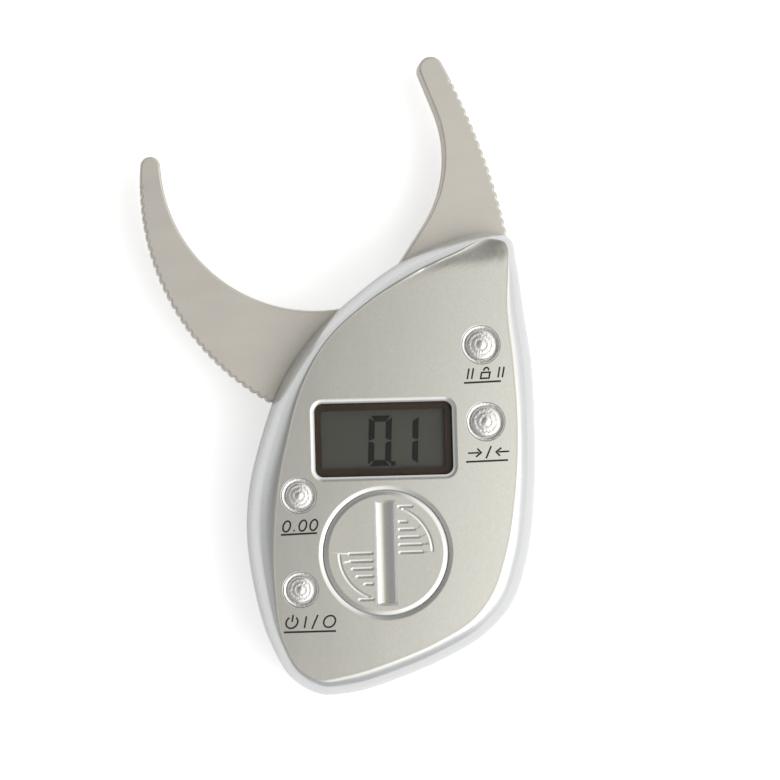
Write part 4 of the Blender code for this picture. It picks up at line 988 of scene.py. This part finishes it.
def blade(bow, bow_radius, bow_start, back, back_end, tip, tip_radius, turn):
    """Points from the bow's root round the tip to the back's root, as in the CAD model."""
    lean = math.degrees(math.acos(min(1, (bow_radius + tip_radius) / (tip - bow).length)))
    bow_end = heading(bow, tip) % 360 - turn * lean
    if turn > 0:
        bow_end -= 360 * (bow_end > 180)
        bow_start -= 360 * (bow_start > 180)
    else:
        bow_start %= 360
    points = arc(bow, bow_radius, bow_start, bow_end, arc_steps(bow_radius, bow_start, bow_end))
    back_radius = (tip - back).length + tip_radius
    tip_end = heading(back, tip)
    tip_start = bow_end + 180 - 360 * (turn < 0)
    points += arc(tip, tip_radius, tip_start, tip_end, TIP_STEPS)[1:-1]
    return points + toothed_back(back, back_radius, tip_end, back_end % 360)


def counterclockwise(outline):
    area = sum(a[0] * b[1] - b[0] * a[1] for a, b in zip(outline, outline[1:] + outline[:1]))
    return outline if area > 0 else outline[::-1]


def tangent_angle(point, side):
    lean = math.degrees(math.acos(HUB_RADIUS / math.hypot(*point)))
    return heading((0, 0), point) + side * lean


def build_jaw(name, outline, bore, radius, steps, body):
    """A toothed blade with a hole through it."""
    mesh = slab(name, counterclockwise(outline), JAW_BOTTOM, JAW_TOP, EDGE_ROUND)
    cutter = pillar(bore, radius, JAW_BOTTOM - OVERRUN, JAW_TOP + OVERRUN, steps)
    mesh = carve(mesh, [cutter], flat_caps=True)
    present(name, mesh, JAW, body, "jaw_plastic", name.replace("_blade", ""))


def build_moving_jaw():
    """The blade from its bow to its back, joined to the round hub by tangents."""
    bow = (MOVING_BOW, MOVING_BOW_RADIUS, MOVING_BOW_ROOT)
    edge = blade(*bow, MOVING_BACK, MOVING_BACK_ROOT, MOVING_TIP, MOVING_TIP_RADIUS, -1)
    low = tangent_angle(edge[-1], 1) % 360
    high = tangent_angle(edge[0], -1) % 360 + 360
    outline = edge + arc((0, 0), HUB_RADIUS, low, high, HUB_STEPS)
    bore = middle_of("hub_bushing").xy
    radius = half_width("hub_bushing") + CLEARANCE
    build_jaw("moving_jaw_blade", outline, bore, radius, HUB_BORE_STEPS, "moving_jaw")


def build_fixed_jaw():
    """The blade, whose bow runs on into the square root under the housing."""
    away = (FIXED_BOW_ROOT - FIXED_BOW).length
    lean = math.degrees(math.acos(FIXED_BOW_RADIUS / away))
    bow_start = heading(FIXED_BOW, FIXED_BOW_ROOT) + lean
    back_radius = (FIXED_TIP - FIXED_BACK).length + FIXED_TIP_RADIUS
    back_end = math.degrees(math.asin((ROOT_SHOULDER - FIXED_BACK.y) / back_radius))
    bow = (FIXED_BOW, FIXED_BOW_RADIUS, bow_start)
    edge = blade(*bow, FIXED_BACK, back_end, FIXED_TIP, FIXED_TIP_RADIUS, 1)
    root = [(edge[-1][0], ROOT_SHOULDER), (ROOT_RIGHT, ROOT_SHOULDER), (ROOT_RIGHT, ROOT_FOOT)]
    root += [(ROOT_LEFT, ROOT_FOOT), (ROOT_LEFT, ROOT_WAIST), tuple(FIXED_BOW_ROOT)]
    radius = FOOT_RADIUS + CLEARANCE
    build_jaw("fixed_jaw_blade", edge + root, CASE_SCREWS[0], radius, BORE_STEPS, "housing")


build_moving_jaw()
build_fixed_jaw()

# Buttons

BUTTON_RISE = 0.7 * MM
BUTTON_COLLAR = 0.46 * MM
BUTTON_COLLAR_LIFT = 0.03 * MM
BUTTON_COLLAR_FALL = 0.16 * MM
BUTTON_ROUND_SHARE = 0.8
BUTTON_GROOVE = 0.28 * MM
BUTTON_GROOVE_DEPTH = 0.7 * MM
BUTTON_FLANGE_THICKNESS = 0.6 * MM
BUTTON_STEM_RADIUS = 1.5 * MM
BUTTON_SHARP = 50
# Across the disc inside the groove, from its edge, and the height of its turned rings
RING_SHARES = (
    (1.0, 0.0), (0.97, 0.30), (0.91, 0.50), (0.83, 0.62), (0.74, 0.68), (0.66, 0.66), (0.58, 0.68),
    (0.50, 0.77), (0.42, 0.80), (0.34, 0.77), (0.26, 0.80), (0.16, 0.95), (0.08, 1.0),
)


def build_button(name, place, radius):
    """A plated cap: a collar that slopes in to a dark groove, and a disc of turned rings with a boss."""
    node = f"{name}_button"
    face = face_height(*place)
    inner = radius - BUTTON_COLLAR
    disc = inner - BUTTON_GROOVE
    foot = face - BUTTON_COLLAR_FALL
    rise = face + BUTTON_RISE - foot
    groove = foot - BUTTON_GROOVE_DEPTH
    ease = BUTTON_COLLAR_LIFT
    profile = [(0, foot + rise)]
    profile += [(share * disc, foot + lift * rise) for share, lift in reversed(RING_SHARES)]
    profile += [(disc, groove), (inner, groove), (inner, foot)]
    profile += [(radius - 2 * ease, face + ease), (radius - ease, face + ease * BUTTON_ROUND_SHARE)]
    flange = FACE_TOP - BUTTON_WELL_DEPTH - CLEARANCE
    under = flange - BUTTON_FLANGE_THICKNESS
    wide = radius + BUTTON_FLANGE
    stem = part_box(node)[0].z
    profile += [(radius, face), (radius, flange), (wide, flange), (wide, under)]
    profile += [(BUTTON_STEM_RADIUS, under), (BUTTON_STEM_RADIUS, stem), (0, stem)]
    mesh = turned(node, profile, place, angle=BUTTON_SHARP)
    present(f"{node}_cap", mesh, PLATING, node, "bright_plastic", node)


for button, (place, radius) in BUTTONS.items():
    build_button(button, place, radius)

# Battery door

CELL_RADIUS = half_width("coin_cell")
SKIRT_WALL = 1.0 * MM
SKIRT_RADIUS = CELL_RADIUS + CLEARANCE + SKIRT_WALL
SKIRT_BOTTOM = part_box("battery_door")[0].z
LUG_REACH = 1.5 * MM
LUG_THICKNESS = 0.8 * MM
LUG_SPREAD = 15
LUG_STEPS = 12
DOOR_STEPS = 160
DOOR_EDGE = 1.0 * MM
DOOR_SLOPES = (6, 30)
DOOR_SHARP = 10
SLOT_WIDTH = 4.6 * MM
SLOT_LENGTH = 22.8 * MM
SLOT_WALL = 0.45 * MM
SLOT_BEVEL = 0.45 * MM
SLOT_DEPTH = 1.2 * MM
SLOT_LEANS = (19, 31)
SLOT_END_LEAN = 0.5
SLOT_STEPS = 24
GRIP_GROOVES = 5
GRIP_PITCH = 1.65 * MM
GRIP_GROOVE = 0.8 * MM
GRIP_DEPTH = 0.11 * MM
GRIP_FLARE = 0.36 * MM
GRIP_CORNER_SHARE = 0.49
GRIP_CORNER_STEPS = 4
GRIP_RADIUS = 8.3 * MM
GRIP_MARGIN = 0.4 * MM
GRIP_ARC_RADIUS = 10.1 * MM
GRIP_ARC_WIDTH = 0.8 * MM
GRIP_ARC_DEPTH = 0.1 * MM
GRIP_ARC_ANGLES = (2, 67)
GRIP_ARC_STEPS = 40
GRIP_CAP_STEPS = 6


def sector(inner, outer, start, end, steps):
    """A stretch of a ring, with its rounded ends."""
    middle = (inner + outer) / 2
    points = arc((0, 0), outer, start, end, steps)
    half = (outer - inner) / 2
    cap = Vector(spoke((0, 0), 1, end)) * middle
    points += arc(cap, half, end, end + 180, GRIP_CAP_STEPS)[1:-1]
    points += arc((0, 0), inner, end, start, steps)
    cap = Vector(spoke((0, 0), 1, start)) * middle
    points += arc(cap, half, start + 180, start + 360, GRIP_CAP_STEPS)[1:-1]
    return [(x + CELL.x, y + CELL.y) for x, y in points]


def scored(name, outline, depth):
    """A cutter for a shallow groove whose sides flare out to the door's top."""
    steps = ((GRIP_FLARE, -depth), (-GRIP_FLARE, depth), (-GRIP_FLARE, OVERRUN))
    return loft(name, [level(outline, inset, DOOR_TOP + height) for inset, height in steps])


def coin_slot():
    """A bar across the door whose underside is round, so the slot's floor is hollowed."""
    edge = SLOT_WIDTH / 2
    half = edge - SLOT_BEVEL
    left, right = (math.sin(math.radians(lean)) for lean in SLOT_LEANS)
    radius = 2 * half / (left + right)
    centre = (half - radius * right, radius - SLOT_DEPTH)
    floor = arc(centre, radius, -90 - SLOT_LEANS[0], -90 + SLOT_LEANS[1], SLOT_STEPS)
    section = [(-edge, OVERRUN), (-edge, 0), (-half, -SLOT_WALL), *floor, (edge, 0), (edge, OVERRUN)]
    rings = []
    for side in (-1, 1):
        ring = []
        for x, z in section:
            end = side * (SLOT_LENGTH / 2 + z * SLOT_END_LEAN)
            ring.append((CELL.x + x, CELL.y + end, DOOR_TOP + z))
        rings.append(ring)
    return loft("coin_slot", rings)


def grip_grooves(side):
    """The grooves of one thumb grip, which run from beside the slot out to the grip's round edge."""
    cutters = []
    start = SLOT_WIDTH / 2 + GRIP_MARGIN
    # One more groove lies outside the round edge, beyond a gap
    for index in (*range(GRIP_GROOVES), GRIP_GROOVES + 1):
        along = index * GRIP_PITCH
        reach = GRIP_RADIUS if index < GRIP_GROOVES else GRIP_ARC_RADIUS + 2 * GRIP_GROOVE
        end = math.sqrt(reach * reach - along * along)
        centre = (CELL.x + side * (start + end) / 2, CELL.y + side * along)
        corner = GRIP_GROOVE * GRIP_CORNER_SHARE
        outline = rounded_rectangle(end - start, GRIP_GROOVE, corner, centre, GRIP_CORNER_STEPS)
        cutters.append(scored("groove", outline, GRIP_DEPTH))
    low, high = (angle + 90 - 90 * side for angle in GRIP_ARC_ANGLES)
    half = GRIP_ARC_WIDTH / 2
    outline = sector(GRIP_ARC_RADIUS - half, GRIP_ARC_RADIUS + half, low, high, GRIP_ARC_STEPS)
    cutters.append(scored("grip_arc", outline, GRIP_ARC_DEPTH))
    return cutters


def build_door():
    """The coin-turned door: a plate over the recess, a skirt round the cell and two bayonet lugs."""
    edge = rounded_edge(DOOR_EDGE, DOOR_SLOPES)
    edge = [(DOOR_RADIUS - flare, DOOR_TOP - depth) for flare, depth in edge]
    profile = [(0, DOOR_TOP), *edge, (DOOR_RADIUS, DOOR_BOTTOM), (SKIRT_RADIUS, DOOR_BOTTOM)]
    profile += [(SKIRT_RADIUS, SKIRT_BOTTOM), (CELL_RADIUS + CLEARANCE, SKIRT_BOTTOM)]
    profile += [(CELL_RADIUS + CLEARANCE, DOOR_BOTTOM), (0, DOOR_BOTTOM)]
    lugs = []
    for middle in (0, 180):
        ends = (middle - LUG_SPREAD, middle + LUG_SPREAD)
        outline = arc(CELL, SKIRT_RADIUS + LUG_REACH, *ends, LUG_STEPS)
        outline += arc(CELL, SKIRT_RADIUS - SKIRT_WALL / 2, *reversed(ends), LUG_STEPS)
        lugs.append(prism("lug", outline, SKIRT_BOTTOM, SKIRT_BOTTOM + LUG_THICKNESS))
    mesh = carve(turned("door", profile, CELL, DOOR_STEPS), lugs, "UNION")
    mesh = carve(mesh, [coin_slot(), *grip_grooves(1), *grip_grooves(-1)], angle=DOOR_SHARP)
    level_top(mesh, DOOR_TOP)
    present("battery_door_cap", mesh, SILVER, "battery_door", "housing_plastic", "battery_door")


build_door()

# Digits on the display, as the segments of a zero, a point and a one

DIGIT_FOOT = -22.0 * MM
DIGIT_WIDTH = 5.0 * MM
DIGIT_HEIGHT = 10.9 * MM
DIGIT_BAR = 1.3 * MM
DIGIT_GAP = 0.16 * MM
DIGIT_SEAM = 0.03 * MM
DIGIT_CORNER = 0.4 * MM
DIGIT_SLANT = 0.045
DIGIT_PLACES = (-3.0 * MM, 2.85 * MM)
POINT_PLACE = 2.0 * MM
POINT_SIZE = 0.95 * MM
SEGMENT_LIFT = 0.02 * MM
SEGMENT_THICKNESS = 0.06 * MM


def digit_bars():
    """Outlines of the lower left bar and the foot bar, from which the others are mirrored."""
    half = DIGIT_HEIGHT / 2 - DIGIT_GAP
    seam = DIGIT_BAR + DIGIT_SEAM
    upright = [(0, DIGIT_CORNER + DIGIT_SEAM), (DIGIT_BAR, seam), (DIGIT_BAR, half - DIGIT_BAR / 3)]
    upright += [(DIGIT_BAR / 2, half), (0, half)]
    foot = [(DIGIT_CORNER, 0), (DIGIT_WIDTH - DIGIT_CORNER, 0)]
    foot += [(DIGIT_WIDTH - seam, DIGIT_BAR), (seam, DIGIT_BAR)]
    return upright, foot


def mirrored(outline, across, along):
    """The outline turned over left to right, foot to top, or both."""
    points = []
    for x, y in outline:
        points.append((DIGIT_WIDTH - x if across else x, DIGIT_HEIGHT - y if along else y))
    return points if across == along else points[::-1]


def segment(outline, left):
    slanted = [(left + x + y * DIGIT_SLANT, DIGIT_FOOT + y) for x, y in outline]
    bottom = GLASS_TOP + SEGMENT_LIFT
    return prism("segment", slanted, bottom, bottom + SEGMENT_THICKNESS)


def build_digits():
    upright, foot = digit_bars()
    zero, one = DIGIT_PLACES
    parts = ((upright, False, zero), (upright, True, zero), (foot, False, zero), (upright, True, one))
    bars = []
    for outline, across, left in parts:
        bars += [(mirrored(outline, across, along), left) for along in (False, True)]
    point = [(0, 0), (POINT_SIZE, 0), (POINT_SIZE, POINT_SIZE), (0, POINT_SIZE)]
    bars.append((point, POINT_PLACE))
    for index, (outline, left) in enumerate(bars, 1):
        mesh = segment(outline, left)
        present(f"display_segment_{index}", mesh, SEGMENT, "housing", "dark_plastic")


build_digits()

# Marks printed under the buttons, as plain signs with a line under them

PRINT_LIFT = 0.02 * MM
PRINT_SINK = 0.05 * MM
STROKE = 0.36 * MM
UNDERLINE = 0.4 * MM
SIGN_SLANT = 0.2
SIGN_STEP = 0.6 * MM


def ring_sign(width, height, start=0, end=360, steps=20, lift=0.0):
    """Points round an oval, in shares of a sign's height."""
    points = []
    for k in range(steps + 1):
        turn = math.radians(start + (end - start) * k / steps)
        points.append((width / 2 * (1 + math.cos(turn)), lift + height / 2 * (1 + math.sin(turn))))
    return points[:-1] if end - start == 360 else points


# Each sign is its width and its strokes in shares of its height, with a mark for a closed stroke
BARS_SIGN = (0.42, [([(0.0, 0.0), (0.0, 1.0)], False), ([(0.42, 0.0), (0.42, 1.0)], False)])
SHACKLE = [(x + 0.16, y) for x, y in reversed(ring_sign(0.48, 0.56, 0, 180, 10, 0.44))]
LOCK_SIGN = (0.8, [([(0.0, 0.0), (0.8, 0.0), (0.8, 0.55), (0.0, 0.55)], True), (SHACKLE, False)])
ARROW_SIGN = (1.3, [([(0.0, 0.5), (1.1, 0.5)], False), ([(0.85, 0.9), (1.3, 0.5), (0.85, 0.1)], False)])
BACK_HEAD = [(0.45, 0.9), (0.0, 0.5), (0.45, 0.1)]
BACK_ARROW_SIGN = (1.3, [([(0.2, 0.5), (1.3, 0.5)], False), (BACK_HEAD, False)])
SLASH_SIGN = (0.3, [([(0.0, -0.1), (0.3, 1.1)], False)])
ZERO_SIGN = (0.68, [(ring_sign(0.68, 1.0), True)])
POINT_SIGN = (0.14, [([(0.0, 0.07), (0.14, 0.07)], False)])
BAR_SIGN = (0.1, [([(0.05, 0.0), (0.05, 1.0)], False)])
CIRCLE_SIGN = (1.0, [(ring_sign(1.0, 1.0, steps=28), True)])
POWER_SIGN = (1.0, [(ring_sign(1.0, 1.0, 125, 415, 24), False), ([(0.5, 0.55), (0.5, 1.15)], False)])

# In mm, where each row of signs starts, its length and height, and both ends of the line under it
MARKS = {
    "hold": ((18.81, -3.72), 7.7, 2.3, (18.10, -4.53), (26.18, -4.28)),
    "units": ((18.34, -20.86), 9.0, 2.2, (18.07, -21.64), (27.23, -21.44)),
    "zero": ((-22.10, -35.70), 7.4, 2.3, (-22.36, -36.31), (-14.61, -36.10)),
    "power": ((-21.97, -56.40), 10.6, 2.5, (-22.24, -57.23), (-11.05, -57.25)),
}
SIGNS = {
    "hold": (BARS_SIGN, LOCK_SIGN, BARS_SIGN),
    "units": (ARROW_SIGN, SLASH_SIGN, BACK_ARROW_SIGN),
    "zero": (ZERO_SIGN, POINT_SIGN, ZERO_SIGN, ZERO_SIGN),
    "power": (POWER_SIGN, BAR_SIGN, SLASH_SIGN, CIRCLE_SIGN),
}


def divided(path, step):
    """The path with points between its own, so that it can follow the crown of the face."""
    points = []
    for start, end in zip(path, path[1:]):
        count = max(1, math.ceil((end - start).length / step))
        points += [start.lerp(end, k / count) for k in range(count)]
    return [*points, path[-1]]


def add_stroke(bm, path, width, closed):
    """A thin ribbon of ink along the path, laid on the face."""
    rows = []
    count = len(path)
    for i, here in enumerate(path):
        ahead = path[(i + 1) % count] - here if closed or i + 1 < count else here - path[i - 1]
        behind = here - path[i - 1] if closed or i else ahead
        square = Vector((-behind.y, behind.x)).normalized()
        along = ahead.normalized() + behind.normalized()
        side = Vector((-along.y, along.x)).normalized()
        reach = side * width / 2 / max(LEAST_MITRE, side.dot(square))
        row = []
        for way, lift in ((1, PRINT_LIFT), (-1, PRINT_LIFT), (-1, -PRINT_SINK), (1, -PRINT_SINK)):
            place = here + way * reach
            row.append(bm.verts.new((*place, surface(*place) + lift)))
        rows.append(row)
    for first, second in zip(rows, rows[1:] + rows[:1] if closed else rows[1:]):
        for k in range(4):
            bm.faces.new((first[k - 1], first[k], second[k], second[k - 1]))
    if not closed:
        bm.faces.new(rows[0])
        bm.faces.new(rows[-1][::-1])


def build_mark(name, foot, length, height, line_start, line_end):
    """A row of signs, evenly spaced and parallel to the line under them."""
    signs = SIGNS[name]
    foot, height = Vector(foot) * MM, height * MM
    gap = (length * MM - sum(width for width, strokes in signs) * height) / (len(signs) - 1)
    rise = (line_end[1] - line_start[1]) / (line_end[0] - line_start[0])
    bm = bmesh.new()
    left = 0
    for width, strokes in signs:
        for points, closed in strokes:
            path = []
            for x, y in points:
                across = left + (x + y * SIGN_SLANT) * height
                path.append(foot + Vector((across, y * height + across * rise)))
            add_stroke(bm, path if closed else divided(path, SIGN_STEP), STROKE, closed)
        left += width * height + gap
    line = divided([Vector(line_start) * MM, Vector(line_end) * MM], SIGN_STEP)
    add_stroke(bm, line, UNDERLINE, False)
    name = f"{name}_mark"
    present(name, mesh_from(bm, name), PRINT, "housing", "dark_plastic")


for mark, values in MARKS.items():
    build_mark(mark, *values)

# Case screws, with cross recesses in their heads

HEAD_RADIUS = 2.1 * MM
HEAD_EDGE = 0.4 * MM
HEAD_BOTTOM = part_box("case_screw_1")[0].z
HEAD_TOP = HEAD_BOTTOM + 1.2 * MM
SHANK_RADIUS = 1.0 * MM
SHANK_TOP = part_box("case_screw_1")[1].z
CROSS_LENGTH = 2.4 * MM
CROSS_WIDTH = 0.55 * MM
CROSS_DEPTH = 0.8 * MM
CROSS_CORNER_STEPS = 3
HEAD_SLOPES = (0, 80)
HEAD_STEPS = 48


def build_case_screw(index, place):
    edge = reversed(rounded_edge(HEAD_EDGE, HEAD_SLOPES))
    head = [(HEAD_RADIUS - flare, HEAD_BOTTOM + depth) for flare, depth in edge]
    profile = [(0, SHANK_TOP), (SHANK_RADIUS, SHANK_TOP), (SHANK_RADIUS, HEAD_TOP)]
    profile += [(HEAD_RADIUS, HEAD_TOP), *head, (0, HEAD_BOTTOM)]
    steps = ((-CROSS_WIDTH / 8, -OVERRUN), (0, 0), (CROSS_WIDTH / 5, CROSS_DEPTH))
    cross = []
    for size in ((CROSS_LENGTH, CROSS_WIDTH), (CROSS_WIDTH, CROSS_LENGTH)):
        outline = rounded_rectangle(*size, CROSS_WIDTH / 4, place, CROSS_CORNER_STEPS)
        rings = [level(outline, inset, HEAD_BOTTOM + height) for inset, height in steps]
        cross.append(loft("cross", rings))
    mesh = carve(turned("screw", profile, place, HEAD_STEPS), cross, flat_caps=True)
    present(f"case_screw_head_{index}", mesh, STEEL, "housing", "steel", f"case_screw_{index}")


for index, place in enumerate(CASE_SCREWS, 1):
    build_case_screw(index, place)

# Light, floor and backdrop

QUIET_LEVEL = 0.34
DIM_LEVEL = 0.16
WINDOW_LEVEL = 1.38
HORIZON_LEVEL = 0.80
FOOT_LEVEL = 0.36
FLOOR_GLOW = 0.5
WINDOW_SIDE = -15
DIM_SIDE = 118
FOOT_SIDE = -120
# Where each light's edge starts and ends, by the cosine to its side or, for the horizon, by height
WINDOW_EDGE = (0.0, 0.26)
DIM_EDGE = (0.08, 0.42)
FOOT_EDGE = (0.0, 0.8)
HORIZON_EDGE = (0.75, 0.35)
FLOOR_REACH = 1.6
FLOOR_DROP = 0.3 * MM
KEY_PLACE = (0.75, -0.45, 0.95)
KEY_SIZE = 0.8
KEY_POWER = 3.5


def make_world():
    """A quiet ceiling, dim at the top left, a wide window at the right and a pale horizon all round."""
    n = Nodes("studio", bpy.data.worlds, "OutputWorld")
    bpy.context.scene.world = n.material
    toward = n.add("TexCoord").outputs["Generated"]
    height = n.add("SeparateXYZ", {"Vector": toward}).outputs[2]
    sides = []
    for side in (WINDOW_SIDE, DIM_SIDE, FOOT_SIDE):
        way = {0: toward, 1: (*spoke((0, 0), 1, side), 0)}
        dot = n.add("VectorMath", way, operation="DOT_PRODUCT")
        sides.append(dot.outputs["Value"])
    ceiling = n.math("MULTIPLY_ADD", n.step(sides[1], *DIM_EDGE), DIM_LEVEL - QUIET_LEVEL, QUIET_LEVEL)
    window = n.math("MULTIPLY", n.step(sides[0], *WINDOW_EDGE), WINDOW_LEVEL - QUIET_LEVEL)
    above = n.math("ADD", ceiling, window)
    horizon = n.step(sides[2], *FOOT_EDGE)
    horizon = n.math("MULTIPLY_ADD", horizon, FOOT_LEVEL - HORIZON_LEVEL, HORIZON_LEVEL)
    low = n.step(height, *HORIZON_EDGE)
    fall = n.math("MULTIPLY", low, n.math("SUBTRACT", horizon, above))
    n.finish(n.add("Background", {"Color": WHITE, "Strength": n.math("ADD", above, fall)}))


def make_floor():
    """White paper just under the back, which glows a little where the camera sees it."""
    mesh = bpy.data.meshes.new("floor")
    far = FLOOR_REACH
    mesh.from_pydata([(-far, -far, 0), (far, -far, 0), (far, far, 0), (-far, far, 0)], [], [(0, 1, 2, 3)])
    floor = link("floor", mesh)
    floor.location.z = -FLOOR_DROP
    n = Nodes("floor_paper")
    grain = n.noise(40, 3)
    base = n.mix(grain, (0.93, 0.93, 0.93, 1), (0.95, 0.95, 0.95, 1))
    path = n.add("LightPath").outputs
    seen = n.math("ADD", path["Is Camera Ray"], path["Is Transmission Ray"], clamp=True)
    glow = n.math("MULTIPLY", seen, FLOOR_GLOW)
    glow = n.math("MULTIPLY_ADD", path["Is Glossy Ray"], FLOOR_GLOW / 3, glow)
    n.shader(Base_Color=base, Roughness=0.9, Emission_Color=WHITE, Emission_Strength=glow)
    mesh.materials.append(n.material)


def make_key():
    data = bpy.data.lights.new("key", "AREA")
    data.shape = "RECTANGLE"
    data.size = data.size_y = KEY_SIZE
    data.energy = KEY_POWER
    key = link("key", data)
    key.location = KEY_PLACE
    key.rotation_euler = (-Vector(KEY_PLACE)).to_track_quat("-Z", "Y").to_euler()


make_camera()
make_world()
make_floor()
make_key()
bpy.context.scene.view_settings.view_transform = "Standard"
